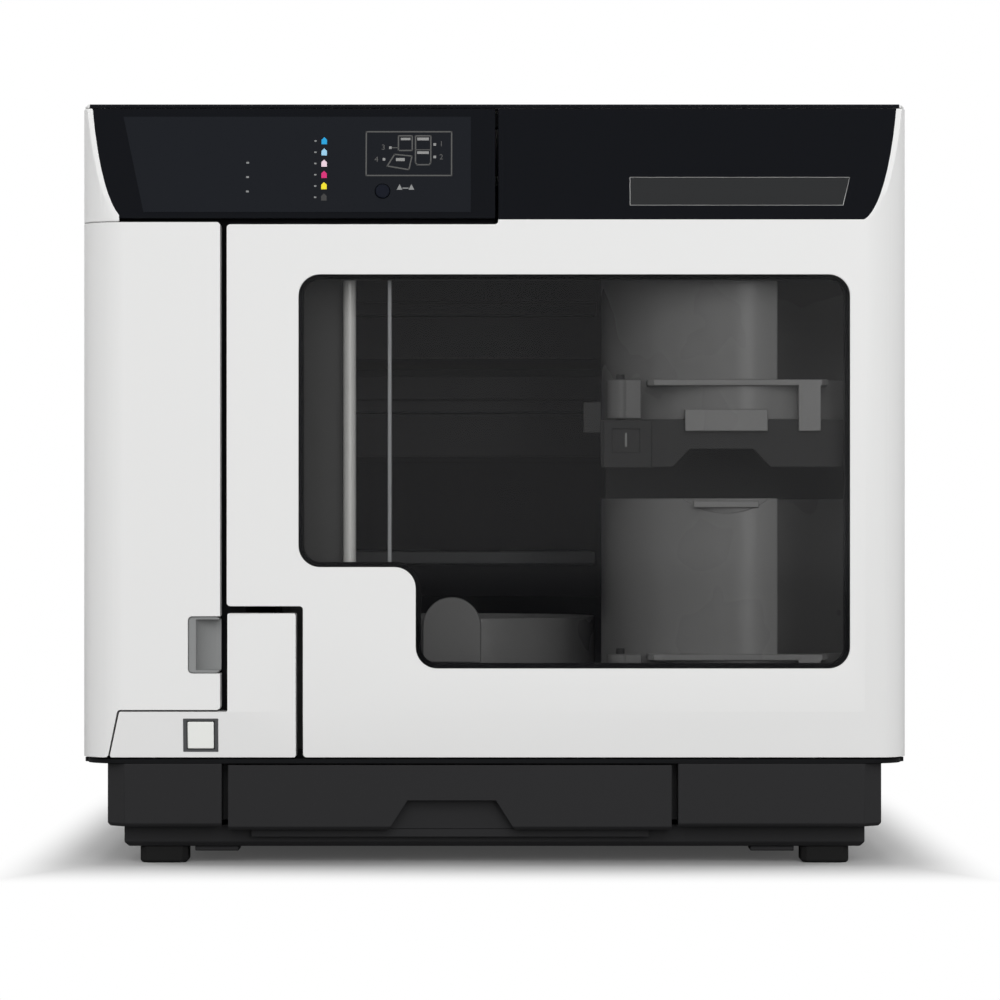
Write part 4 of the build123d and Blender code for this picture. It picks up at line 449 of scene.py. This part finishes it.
def soft_piece(node, width):
    """Replaces a node by a copy with rounded edges, in its slot's finish."""
    slot = slot_of[node]
    low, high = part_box(node)
    for share in SHARES:
        piece = merged_copy(node, node + "_soft")
        if width * share > 0:
            bevel = piece.modifiers.new("soft_edges", "BEVEL")
            bevel.width = width * share * MM
            bevel.segments = BEVEL_SEGMENTS
            bevel.limit_method = "ANGLE"
            bevel.angle_limit = SOFT_ANGLE
            bevel.use_clamp_overlap = False
            bevel.miter_outer = "MITER_ARC"
        flat = piece.modifiers.new("flat_faces", "WEIGHTED_NORMAL")
        flat.weight = 100
        flat.keep_sharp = True
        as_plain_mesh(piece)
        if stays_inside(piece.data, low, high):
            break
        bpy.data.objects.remove(piece)
    shares[node] = share
    piece.data.materials.clear()
    piece.data.materials.append(finish[slot])
    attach(piece, body_of_node[node])
    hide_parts(node)
    return piece


# how wide each node's edges are rounded, in mm
EDGE = {
    "door_shell": 0.45, "ink_cover_shell": 0.45, "lower_front_panel": 0.4, "side_cover_left": 0.4,
    "side_cover_right": 0.4, "top_cover": 0.35, "door_band": 0.35, "control_panel": 0.35,
    "plinth_front_panels": 0.4, "plinth_skirt": 0.4, "drawer_front": 0.4, "base_pan": 0.4,
    "rubber_feet": 0.5, "ink_cover_grip": 0.3, "power_bezel": 0.2, "power_key": 0.45,
    "round_key": 0.25, "status_lamp": 0.15, "window_frame": 0.3, "bin_1": 0.35, "bin_2": 0.35,
    "bin_3": 0.35, "bin_holder": 0.3, "bin_lever_1": 0.5, "bin_lever_2": 0.5, "arm_column": 0.4,
    "arm_guide_strip": 0.15, "arm_carriage": 0.3, "pick_arm": 0.35, "gripper": 0.2,
    "front_frame": 0.3, "ink_rack": 0.3, "ink_cartridges": 0.4, "drawer_tray": 0.4,
    "drive_upper_tray": 0.3, "drive_lower_tray": 0.3, "printer_tray": 0.3, "printer_housing": 0.3,
    "drive_upper": 0.3, "drive_lower": 0.3, "print_carriage": 0.3, "fan_frame": 0.4,
    "rear_sockets": 0.3, "rear_panel": 0.3, "main_board": 0.15, "power_supply": 0.4,
    "arm_motor": 0.3, "arm_shaft": 0.2, "carriage_rail": 0.2, "drive_pulley": 0.15,
    "idler_pulley": 0.15, "hinge_pins": 0.15, "bay_walls": 0.2, "drive_cage": 0.2,
    "drawer_rails": 0.2, "main_deck": 0.2, "fan_rotor": 0.15, "arm_belt": 0.0,
    "door_window": 0.0, "control_membrane": 0.0,
}
soft = {node: soft_piece(node, width) for node, width in EDGE.items()}
finer = {node: share for node, share in shares.items() if share < 1}
print("soft pieces", len(soft), "finer", finer)

# %% [markdown]
# ## Rows of small pieces
# A machine like this has the same small thing many times: screws, lamps, belt teeth. One tree of
# Geometry Nodes makes all of them. It draws a line of points, puts a copy of a small item on each
# point, and turns the copies into real mesh with one finish. Only its named inputs differ.


# %% The row tree
def build_row_tree():
    """Count copies of an item, each one step further than the last."""
    tree = bpy.data.node_groups.new("row_of_pieces", "GeometryNodeTree")
    kinds = {
        "Item": "Object", "Count": "Int", "Start": "Vector", "Step": "Vector", "Finish": "Material"
    }
    for label, kind in kinds.items():
        tree.interface.new_socket(label, in_out="INPUT", socket_type="NodeSocket" + kind)
    tree.interface.new_socket("Geometry", in_out="OUTPUT", socket_type="NodeSocketGeometry")
    enter = tree.nodes.new("NodeGroupInput")
    line = tree.nodes.new("GeometryNodeMeshLine")
    line.mode = "OFFSET"
    join(tree, enter.outputs["Count"], line.inputs["Count"])
    join(tree, enter.outputs["Start"], line.inputs["Start Location"])
    join(tree, enter.outputs["Step"], line.inputs["Offset"])
    item = tree.nodes.new("GeometryNodeObjectInfo")
    join(tree, enter.outputs["Item"], item.inputs["Object"])
    copies = tree.nodes.new("GeometryNodeInstanceOnPoints")
    join(tree, line.outputs["Mesh"], copies.inputs["Points"])
    join(tree, item.outputs["Geometry"], copies.inputs["Instance"])
    real = tree.nodes.new("GeometryNodeRealizeInstances")
    join(tree, copies.outputs["Instances"], real.inputs["Geometry"])
    paint = tree.nodes.new("GeometryNodeSetMaterial")
    join(tree, real.outputs["Geometry"], paint.inputs["Geometry"])
    join(tree, enter.outputs["Finish"], paint.inputs["Material"])
    leave = tree.nodes.new("NodeGroupOutput")
    join(tree, paint.outputs["Geometry"], leave.inputs["Geometry"])
    return tree


row_tree = build_row_tree()
row_socket = {
    item.name: item.identifier for item in row_tree.interface.items_tree if item.in_out == "INPUT"
}


def row(name, body, slot, item, count, start, step):
    """A row of copies of an item, as one plain mesh that rides on a body."""
    piece = bpy.data.objects.new(name, bpy.data.meshes.new(name))
    scene.collection.objects.link(piece)
    modifier = piece.modifiers.new("row", "NODES")
    modifier.node_group = row_tree
    values = {"Item": item, "Count": count, "Start": start, "Step": step, "Finish": finish[slot]}
    for label, value in values.items():
        modifier[row_socket[label]] = value
    as_plain_mesh(piece)
    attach(piece, body)
    print(name, len(piece.data.polygons), "faces")
    return piece


# %% [markdown]
# ## The items of the rows
# An item is a small closed mesh of a few dozen faces, made once at the origin and already turned
# the way it will lie. The screw is turned on a lathe: rings of twelve points from the rim to the
# crown, and the last rings make the cross that a driver fits.


# %% Items
def mesh_object(name, points, faces, turn=None):
    """A mesh object from points and faces, in metres, turned by a matrix."""
    mesh = bpy.data.meshes.new(name)
    mesh.from_pydata(points, [], faces)
    work = bmesh.new()
    work.from_mesh(mesh)
    bmesh.ops.recalc_face_normals(work, faces=work.faces)
    work.to_mesh(mesh)
    work.free()
    if turn is not None:
        mesh.transform(turn)
    item = bpy.data.objects.new(name, mesh)
    scene.collection.objects.link(item)
    return item


def stacked(rings):
    """Faces that join rings of equal length, closed at both ends."""
    count = len(rings[0])
    points = [point for ring in rings for point in ring]
    faces = [tuple(range(count)), tuple(range(len(points) - count, len(points)))]
    for level in range(len(rings) - 1):
        low, high = level * count, (level + 1) * count
        for step in range(count):
            after = (step + 1) % count
            faces.append((low + step, low + after, high + after, high + step))
    return points, faces


SCREW_RADIUS = 2.6
SCREW_PROFILE = ((1.0, -0.6), (1.0, 0.45), (0.86, 0.95), (0.62, 1.2))
CROSS_REACH = 0.46
CROSS_WAIST = 0.16
CROSS_DEPTH = 0.7


def ring_of(shares, height):
    """Twelve points round the screw's axis, at shares of its radius that repeat."""
    return [
        (
            SCREW_RADIUS * MM * shares[step % len(shares)] * cos(step * pi / 6),
            SCREW_RADIUS * MM * shares[step % len(shares)] * sin(step * pi / 6),
            height * MM,
        )
        for step in range(12)
    ]


def screw_item(name, turn):
    """A pan head screw with a cross in its crown."""
    crown_height = SCREW_PROFILE[-1][1]
    rings = [ring_of((share,), height) for share, height in SCREW_PROFILE]
    for height in (crown_height, crown_height - CROSS_DEPTH):
        rings.append(ring_of((CROSS_REACH, CROSS_WAIST, CROSS_WAIST), height))
    points, faces = stacked(rings)
    return mesh_object(name, points, faces, turn)


def plate_item(name, width, tall, thick, turn, taper=0.15):
    """A small plate with bevelled sides and cut corners."""
    rings = []
    for height, inset in ((-thick / 2, 0.0), (thick / 2, 0.0), (thick, taper)):
        x, y = width / 2 - inset, tall / 2 - inset
        cut = min(width, tall) / 5
        rings.append([
            (px * MM, py * MM, height * MM) for px, py in (
                (x - cut, -y), (x, -y + cut), (x, y - cut), (x - cut, y),
                (-x + cut, y), (-x, y - cut), (-x, -y + cut), (-x + cut, -y),
            )
        ])
    points, faces = stacked(rings)
    return mesh_object(name, points, faces, turn)


# %% [markdown]
# ## The panel's plane
# The black band leans back, so what is printed on it is placed by two numbers, a distance to the
# right and a height, and a small lift off the film. The film's own box gives the plane.

# %% The panel's plane
BAND_TILT = radians(12.1)
film_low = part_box("control_membrane")[0]
band_out = Vector((0, -cos(BAND_TILT), sin(BAND_TILT)))
lean = Matrix.Rotation(radians(90) - BAND_TILT, 4, "X")


def on_panel(x, z, lift=0.0):
    """The point of the film's face at a place and height in mm, lifted off it."""
    y = film_low[1] + (z * MM - film_low[2]) * tan(BAND_TILT)
    return Vector((x * MM, y, z * MM)) + band_out * lift * MM


print("panel", [round(value, 4) for value in on_panel(0, 300)])

# %% [markdown]
# ## Lamps of the panel
# Three status lamps and six ink lamps look out of the film as small dim windows. Each group is a
# row: the same window, stepped down the leaning panel.

# %% Lamp rows
STATUS_X, STATUS_TOP, STATUS_STEP = -112.7, 320.8, 6.65
INK_X, INK_TOP_Z, INK_STEP = -81.8, 330.9, 5.22
STATUS_LAMPS = 3
INKS = 6
status_window = plate_item("status_window", 1.3, 0.9, 0.06, lean, 0.1)
ink_window = plate_item("ink_window", 1.1, 0.7, 0.06, lean, 0.1)
step_down = on_panel(0, 299) - on_panel(0, 300)
row("status_lamps", "chassis", "grip_grey", status_window, STATUS_LAMPS,
    on_panel(STATUS_X, STATUS_TOP), step_down * STATUS_STEP)
row("ink_lamps", "chassis", "grip_grey", ink_window, INKS,
    on_panel(INK_X, INK_TOP_Z), step_down * INK_STEP)

# %% [markdown]
# ## Printed marks
# The print on the film is drawn as very thin plates of ink, so it stays on the film from every
# side and keeps its place when the model is exported. Bars and outlines are polygons in the
# panel's plane, and the digits are text turned into mesh. Words are left off.


# %% Print helpers
PRINT_LIFT = 0.03
PRINT_DEPTH = 0.06


def bar(x0, x1, z0, z1):
    return [(x0, z0), (x1, z0), (x1, z1), (x0, z1)]


def outline(points, line):
    """The bars of a closed outline, each a thin four-sided strip along one side."""
    strips = []
    for start, end in zip(points, points[1:] + points[:1]):
        run = Vector((end[0] - start[0], end[1] - start[1])).normalized() * line / 2
        side = Vector((-run.y, run.x))
        first, last = Vector(start) - run, Vector(end) + run
        strips.append([first + side, first - side, last - side, last + side])
    return strips


def printed(name, slot, shapes, material=None):
    """Ink on the film: each shape is a thin closed plate."""
    points, faces = [], []
    for shape in shapes:
        top = [on_panel(x, z, PRINT_LIFT) for x, z in shape]
        low = [point - band_out * PRINT_DEPTH * MM for point in top]
        base = len(points)
        extra, sides = stacked([low, top])
        points += extra
        faces += [tuple(base + index for index in face) for face in sides]
    piece = mesh_object(name, points, faces)
    piece.data.materials.append(material or finish[slot])
    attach(piece, "chassis")
    return piece


def digit(name, text, height, place, turn, body, slot):
    """A digit as a thin solid, centred on a place."""
    curve = bpy.data.curves.new(name, "FONT")
    curve.body = text
    curve.size = height * MM / 0.7
    curve.align_x = "CENTER"
    curve.align_y = "CENTER"
    curve.extrude = PRINT_LIFT * MM
    source = bpy.data.objects.new(name + "_text", curve)
    scene.collection.objects.link(source)
    evaluated = source.evaluated_get(bpy.context.evaluated_depsgraph_get())
    mesh = bpy.data.meshes.new_from_object(evaluated)
    bpy.data.objects.remove(source)
    mesh.transform(Matrix.Translation(place) @ turn)
    mesh.materials.clear()
    mesh.materials.append(finish[slot])
    piece = bpy.data.objects.new(name, mesh)
    scene.collection.objects.link(piece)
    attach(piece, body)
    return piece


# %% The stacker diagram
LINE = 0.6
frame_bars = outline([(-58.6, 314.9), (-19.6, 314.9), (-19.6, 335.2), (-58.6, 335.2)], LINE)
stack = outline([(-35.4, 319.9), (-29.8, 319.9), (-29.1, 321.0), (-29.1, 333.3), (-36.1, 333.3),
                 (-36.1, 321.0)], LINE)
shelf = outline([(-43.9, 326.5), (-37.6, 326.5), (-37.6, 333.3), (-43.9, 333.3)], LINE)
slide = outline([(-49.0, 319.3), (-39.1, 317.6), (-37.7, 323.9), (-45.6, 324.7)], LINE)
leads = [bar(-47.0, -43.9, 327.6, 328.0), bar(-36.1, -29.1, 326.6, 327.0)]
printed("diagram_lines", "column_grey", frame_bars + stack + shelf + slide + leads)
discs_drawn = [
    bar(-35.3, -30.0, 331.2, 332.5), bar(-35.3, -30.0, 324.9, 326.1),
    bar(-42.8, -38.4, 331.3, 332.4), bar(-45.0, -41.0, 321.6, 323.0),
]
DOT = 0.6
dots = [
    bar(x - DOT, x + DOT, z - DOT, z + DOT)
    for x, z in ((-27.3, 329.3), (-27.3, 323.5), (-47.6, 327.8), (-50.5, 322.4))
]
printed("diagram_marks", "bin_grey", discs_drawn + dots)
DIGIT_HEIGHT = 2.5
DIGIT_PLACES = {"1": (-24.3, 329.5), "2": (-24.3, 323.4), "3": (-50.8, 327.9), "4": (-53.9, 322.3)}
for text, (x, z) in DIGIT_PLACES.items():
    digit("panel_digit_" + text, text, DIGIT_HEIGHT, on_panel(x, z), lean, "chassis", "column_grey")
print("diagram digits", len(DIGIT_PLACES))

# %% The start mark beside the round key
MARK_Z = 308.3
MARK_HALF = 1.3
marks = [
    [(x - MARK_HALF, MARK_Z), (x + MARK_HALF, MARK_Z), (x, MARK_Z + 2 * MARK_HALF)]
    for x in (-43.3, -37.9)
]
printed("start_mark", "grip_grey", marks + [bar(-42.0, -39.2, MARK_Z + 0.5, MARK_Z + 1.0)])

# %% [markdown]
# ## Ink colours
# Six drops on the panel and six labels on the cartridges share six inks. They are the colours of
# any photo printer: two cyans, two magentas, yellow and black.

# %% Ink colours
INK_COLORS = {
    "cyan": (0.02, 0.34, 0.66),
    "light_cyan": (0.32, 0.60, 0.80),
    "light_magenta": (0.80, 0.62, 0.70),
    "magenta": (0.66, 0.03, 0.18),
    "yellow": (0.85, 0.72, 0.03),
    "black": (0.045, 0.045, 0.045),
}
DROP_X, DROP_WIDTH, DROP_TALL = -77.8, 2.5, 3.0
DROP_FOOT, DROP_SHOULDER, DROP_POINT = -0.5, 0.2, 0.6  # shares of its height, from its middle
for index, (ink, color) in enumerate(INK_COLORS.items()):
    paint = plastic("ink_" + ink, color, 0.45, 0.02, 1500, 0.0, 0.2, 0.04)
    middle = INK_TOP_Z - index * INK_STEP
    left, right = DROP_X - DROP_WIDTH / 2, DROP_X + DROP_WIDTH / 2
    foot, shoulder, point = (
        middle + DROP_TALL * share for share in (DROP_FOOT, DROP_SHOULDER, DROP_POINT)
    )
    drop = [(left, foot), (right, foot), (right, shoulder), (DROP_X, point), (left, shoulder)]
    printed("drop_" + ink, "ink_black", [drop], paint)
print("drops", len(INK_COLORS))

# %% Cartridge labels
cartridge_low, cartridge_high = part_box("ink_cartridges")
CARTRIDGE_GAP = 3.5
cartridge_pitch = (cartridge_high[2] - cartridge_low[2] + CARTRIDGE_GAP * MM) / INKS
LABEL_SHARE = (0.62, 0.42)
LABEL_THICK = 0.15
upright = Matrix.Rotation(radians(90), 4, "X")
label_width = (cartridge_high[0] - cartridge_low[0]) / MM * LABEL_SHARE[0]
label_tall = cartridge_pitch / MM * LABEL_SHARE[1]
for index, ink in enumerate(INK_COLORS):
    height = cartridge_high[2] - (index + 0.5) * cartridge_pitch + CARTRIDGE_GAP * MM / 2
    middle = Vector(((cartridge_low[0] + cartridge_high[0]) / 2, cartridge_low[1], height))
    turn = Matrix.Translation(middle) @ upright
    label = plate_item("label_" + ink, label_width, label_tall, LABEL_THICK, turn)
    label.data.materials.append(bpy.data.materials["ink_" + ink])
    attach(label, "chassis")
print("labels", INKS, "pitch", round(cartridge_pitch, 4))

# %% [markdown]
# ## Numbers on the bins' holder
# Each bin has a plain number in the recess of its plate, so that the user knows which is which.

# %% Bin numbers
BIN_DIGIT = 6.6
PLATE_BELOW_TAB = 4.4
face_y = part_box("bin_holder")[0][1]
PLATE_RECESS = 1.0
PLATE_FROM_LEFT = 19.45
NUMBER_LIFT = 0.02
plate_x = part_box("bin_holder")[0][0] + PLATE_FROM_LEFT * MM
for text, node in (("1", "bin_1"), ("2", "bin_2")):
    plate_y = face_y + (PLATE_RECESS - NUMBER_LIFT) * MM
    plate_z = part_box(node)[0][2] - PLATE_BELOW_TAB * MM
    place = Vector((plate_x, plate_y, plate_z))
    digit("bin_number_" + text, text, BIN_DIGIT, place, upright, "chassis", "bin_grey")

# %% [markdown]
# ## Screws and the belt's teeth
# The rear panel and the pan are screwed on, and the arm's belt has teeth on its inner side. All
# are rows again, each with its own item.

# %% Screws
rear_low, rear_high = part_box("rear_panel")
pan_low, pan_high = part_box("base_pan")
backwards = Matrix.Rotation(radians(-90), 4, "X")
downwards = Matrix.Rotation(radians(180), 4, "X")
rear_screw = screw_item("rear_screw", backwards)
pan_screw = screw_item("pan_screw", downwards)
SCREW_IN = 0.006
REAR_SCREWS, PAN_SCREWS = 5, 4
rear_step = (rear_high[2] - rear_low[2] - SCREW_IN * 3) / (REAR_SCREWS - 1)
PAN_EDGE = 0.030
PAN_FLOOR_Z = 0.0078
pan_step = (pan_high[1] - pan_low[1] - PAN_EDGE * 4) / (PAN_SCREWS - 1)
for side, name in ((-1, "left"), (1, "right")):
    x = side * (rear_high[0] - SCREW_IN)
    row("rear_screws_" + name, "chassis", "motor_steel", rear_screw, REAR_SCREWS,
        (x, rear_high[1], rear_low[2] + SCREW_IN), (0, 0, rear_step))
    x = side * (pan_high[0] - PAN_EDGE * 2)
    row("pan_screws_" + name, "chassis", "motor_steel", pan_screw, PAN_SCREWS,
        (x, pan_low[1] + PAN_EDGE * 2, PAN_FLOOR_Z), (0, pan_step, 0))

# %% Belt teeth
belt_low, belt_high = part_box("arm_belt")
belt_middle = (belt_low[0] + belt_high[0]) / 2
BELT_THICKNESS = 0.001
TOOTH_PITCH = 0.003
TOOTH_THICK, TOOTH_TALL, TOOTH_TAPER = 1.4, 0.7, 0.25
tooth_x = (belt_high[0] - belt_low[0]) / 2 - BELT_THICKNESS
teeth = int((belt_high[2] - belt_low[2] - tooth_x * 4) / TOOTH_PITCH)
belt_y = (belt_low[1] + belt_high[1]) / 2
belt_width = (belt_high[1] - belt_low[1]) / MM
for side, name in ((-1, "left"), (1, "right")):
    inward = Matrix.Rotation(radians(-90 * side), 4, "Y")
    tooth = plate_item("tooth_" + name, TOOTH_THICK, belt_width, TOOTH_TALL, inward, TOOTH_TAPER)
    row("belt_teeth_" + name, "chassis", "belt_rubber", tooth, teeth,
        (belt_middle + side * tooth_x, belt_y, belt_low[2] + tooth_x * 2), (0, 0, TOOTH_PITCH))
    bpy.data.objects.remove(tooth)
for item in (status_window, ink_window, rear_screw, pan_screw):
    bpy.data.objects.remove(item)

# %% [markdown]
# ## The top cover's front edge
# The black of the band runs on over the thin front edge of the top cover, so from the front the
# machine ends in black. The edge gets a thin black strip that follows its slope and its chamfer.

# %% Black edge of the top cover
roof_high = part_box("top_cover")[1]
ROOF_EDGE = 1.6 * MM
ROOF_CHAMFER = 0.8 * MM
ROOF_INSET = 0.5 * MM
STRIP_END = 2.6 * MM
STRIP_LIFT = 0.10 * MM
STRIP_DEPTH = 0.35 * MM
BAND_FOOT = 294.0 * MM


def roof_edge(z, lift):
    """A point (y, z) of the top cover's leaning front edge."""
    y = front_y + (z - BAND_FOOT) * tan(BAND_TILT) + ROOF_INSET / cos(BAND_TILT)
    return (y - lift * cos(BAND_TILT), z + lift * sin(BAND_TILT))


edge_low = roof_high[2] - ROOF_EDGE
edge_high = roof_high[2] - ROOF_CHAMFER
crown = roof_edge(edge_high, 0.0)[0] + ROOF_CHAMFER
profile = [
    roof_edge(edge_low, STRIP_LIFT),
    roof_edge(edge_high, STRIP_LIFT),
    (crown, roof_high[2] + STRIP_LIFT / 2),
    (crown, roof_high[2] - STRIP_DEPTH),
    roof_edge(edge_high, -STRIP_DEPTH),
    roof_edge(edge_low, -STRIP_DEPTH),
]
strip_half = roof_high[0] - STRIP_END
points, faces = stacked([[(x, y, z) for y, z in profile] for x in (-strip_half, strip_half)])
trim = mesh_object("top_edge_trim", points, faces)
trim.data.materials.append(finish["black_band"])
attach(trim, "chassis")
print("trim", [round(value, 4) for value in profile[0]])

# %% [markdown]
# ## Floor and light
# The photograph is a plain white product shot. The floor is white to the camera far from the
# machine, and close to it the floor is a plain diffuse surface, so it keeps the soft dark shadow
# under the plinth. The change is by the distance from the case's outline, short beside it and
# longer in front. The lit floor near the case is greyer than the white beyond it, so this fade is
# a painted shadow edge round the case, and only the darker shadow inside it is cast by the lamps.
# The floor throws little light back up, which leaves the foot of the case a little darker, as in
# the photograph. A large box in front lights the face, one above makes the shadow, and a narrow
# strip draws a line of light on the curved bins. Most boxes are kept out of reflections, so that
# the window and the black band don't mirror them.

# %% Floor
FLOOR_REACH = 12.0
FLOOR_SEEN = 0.64
FLOOR_BOUNCE = 0.22
FLOOR_GLOW = 0.05
FLOOR_ROUGHNESS = 0.9
# how far the painted shadow edge reaches on the floor round the case
PAINTED_SHADOW_REACH = (0.040, 0.110, 1.0)  # beside the case and in front of it
floor_mesh = bpy.data.meshes.new("floor")
corners = [(FLOOR_REACH * x, FLOOR_REACH * y, 0) for x, y in ((-1, -1), (1, -1), (1, 1), (-1, 1))]
floor_mesh.from_pydata(corners, [], [(0, 1, 2, 3)])
floor = bpy.data.objects.new("floor", floor_mesh)
scene.collection.objects.link(floor)
floor_look = bpy.data.materials.new("floor")
floor_look.use_nodes = True
tree = floor_look.node_tree
surface = tree.nodes["Principled BSDF"]
surface.inputs["Roughness"].default_value = FLOOR_ROUGHNESS
surface.inputs["Specular IOR Level"].default_value = 0.0
rays = tree.nodes.new("ShaderNodeLightPath")
seen = tree.nodes.new("ShaderNodeMath")
seen.operation = "MAXIMUM"
join(tree, rays.outputs["Is Camera Ray"], seen.inputs[0])
join(tree, rays.outputs["Is Transmission Ray"], seen.inputs[1])
shade = add(tree, "ShaderNodeMapRange", To_Min=FLOOR_BOUNCE, To_Max=FLOOR_SEEN)
join(tree, seen.outputs[0], shade.inputs["Value"])
join(tree, shade.outputs["Result"], surface.inputs["Base Color"])
level = add(tree, "ShaderNodeMapRange", To_Min=0.0, To_Max=FLOOR_GLOW)
join(tree, seen.outputs[0], level.inputs["Value"])
glow = tree.nodes.new("ShaderNodeEmission")
join(tree, level.outputs["Result"], glow.inputs["Strength"])
near = tree.nodes.new("ShaderNodeAddShader")
join(tree, surface.outputs[0], near.inputs[0])
join(tree, glow.outputs[0], near.inputs[1])
# the distance from the case's outline fades the greyer lit floor into white: a painted shadow edge
place = tree.nodes.new("ShaderNodeTexCoord")
reach = place.outputs["Object"]
for operation, value in (
    ("ABSOLUTE", None), ("SUBTRACT", (cad_box[1][0], cad_box[1][1], 0)), ("DIVIDE", PAINTED_SHADOW_REACH)
):
    step = tree.nodes.new("ShaderNodeVectorMath")
    step.operation = operation
    join(tree, reach, step.inputs[0])
    if value:
        step.inputs[1].default_value = value
    reach = step.outputs[0]
parts = tree.nodes.new("ShaderNodeSeparateXYZ")
join(tree, reach, parts.inputs[0])
farther = tree.nodes.new("ShaderNodeMath")
farther.operation = "MAXIMUM"
join(tree, parts.outputs["X"], farther.inputs[0])
join(tree, parts.outputs["Y"], farther.inputs[1])
painted_shadow_fade = tree.nodes.new("ShaderNodeMapRange")
painted_shadow_fade.interpolation_type = "SMOOTHSTEP"
join(tree, farther.outputs[0], painted_shadow_fade.inputs["Value"])
share = tree.nodes.new("ShaderNodeMath")
share.operation = "MULTIPLY"
join(tree, painted_shadow_fade.outputs["Result"], share.inputs[0])
join(tree, seen.outputs[0], share.inputs[1])
white = add(tree, "ShaderNodeEmission", Strength=1.0)
blend = tree.nodes.new("ShaderNodeMixShader")
join(tree, share.outputs[0], blend.inputs[0])
join(tree, near.outputs[0], blend.inputs[1])
join(tree, white.outputs[0], blend.inputs[2])
join(tree, blend.outputs[0], tree.nodes["Material Output"].inputs["Surface"])
floor.data.materials.append(floor_look)

# %% World
WORLD_LEVEL = 0.45
world = bpy.data.worlds.new("studio")
world.use_nodes = True
scene.world = world
tree = world.node_tree
background = tree.nodes["Background"]
rays = tree.nodes.new("ShaderNodeLightPath")
seen = rays.outputs["Is Camera Ray"]
for kind in ("Is Glossy Ray", "Is Transmission Ray"):
    either = tree.nodes.new("ShaderNodeMath")
    either.operation = "MAXIMUM"
    join(tree, seen, either.inputs[0])
    join(tree, rays.outputs[kind], either.inputs[1])
    seen = either.outputs[0]
strength = add(tree, "ShaderNodeMapRange", To_Min=WORLD_LEVEL, To_Max=1.0)
join(tree, seen, strength.inputs["Value"])
background.inputs["Color"].default_value = (1, 1, 1, 1)
join(tree, strength.outputs["Result"], background.inputs["Strength"])
print("world level", WORLD_LEVEL)


# %% Lamps
def soft_box(name, place, target, size, power, shows=True, tall=None):
    """A flat area lamp that faces a point. It may be kept out of reflections."""
    data = bpy.data.lights.new(name, "AREA")
    data.shape = "RECTANGLE"
    data.size = size
    data.size_y = tall or size
    data.energy = power
    lamp = bpy.data.objects.new(name, data)
    lamp.location = place
    lamp.rotation_euler = (Vector(target) - Vector(place)).to_track_quat("-Z", "Y").to_euler()
    lamp.visible_glossy = shows
    scene.collection.objects.link(lamp)
    return lamp


MIDDLE = (0, 0, 0.15)
soft_box("front_box", (0.1, -3.0, 0.9), MIDDLE, 2.0, 56, shows=False)
soft_box("top_box", (0.0, 0.1, 2.2), MIDDLE, 1.1, 15, shows=False)
soft_box("rear_box", (0.4, 2.4, 1.2), MIDDLE, 1.6, 12, shows=False)
for side, name in ((-1, "left_box"), (1, "right_box")):
    soft_box(name, (side * 2.6, 0.9, 0.9), MIDDLE, 1.4, 22, shows=False)
soft_box("strip_box", (0.5, -3.0, 0.35), MIDDLE, 0.16, 7, tall=0.7)
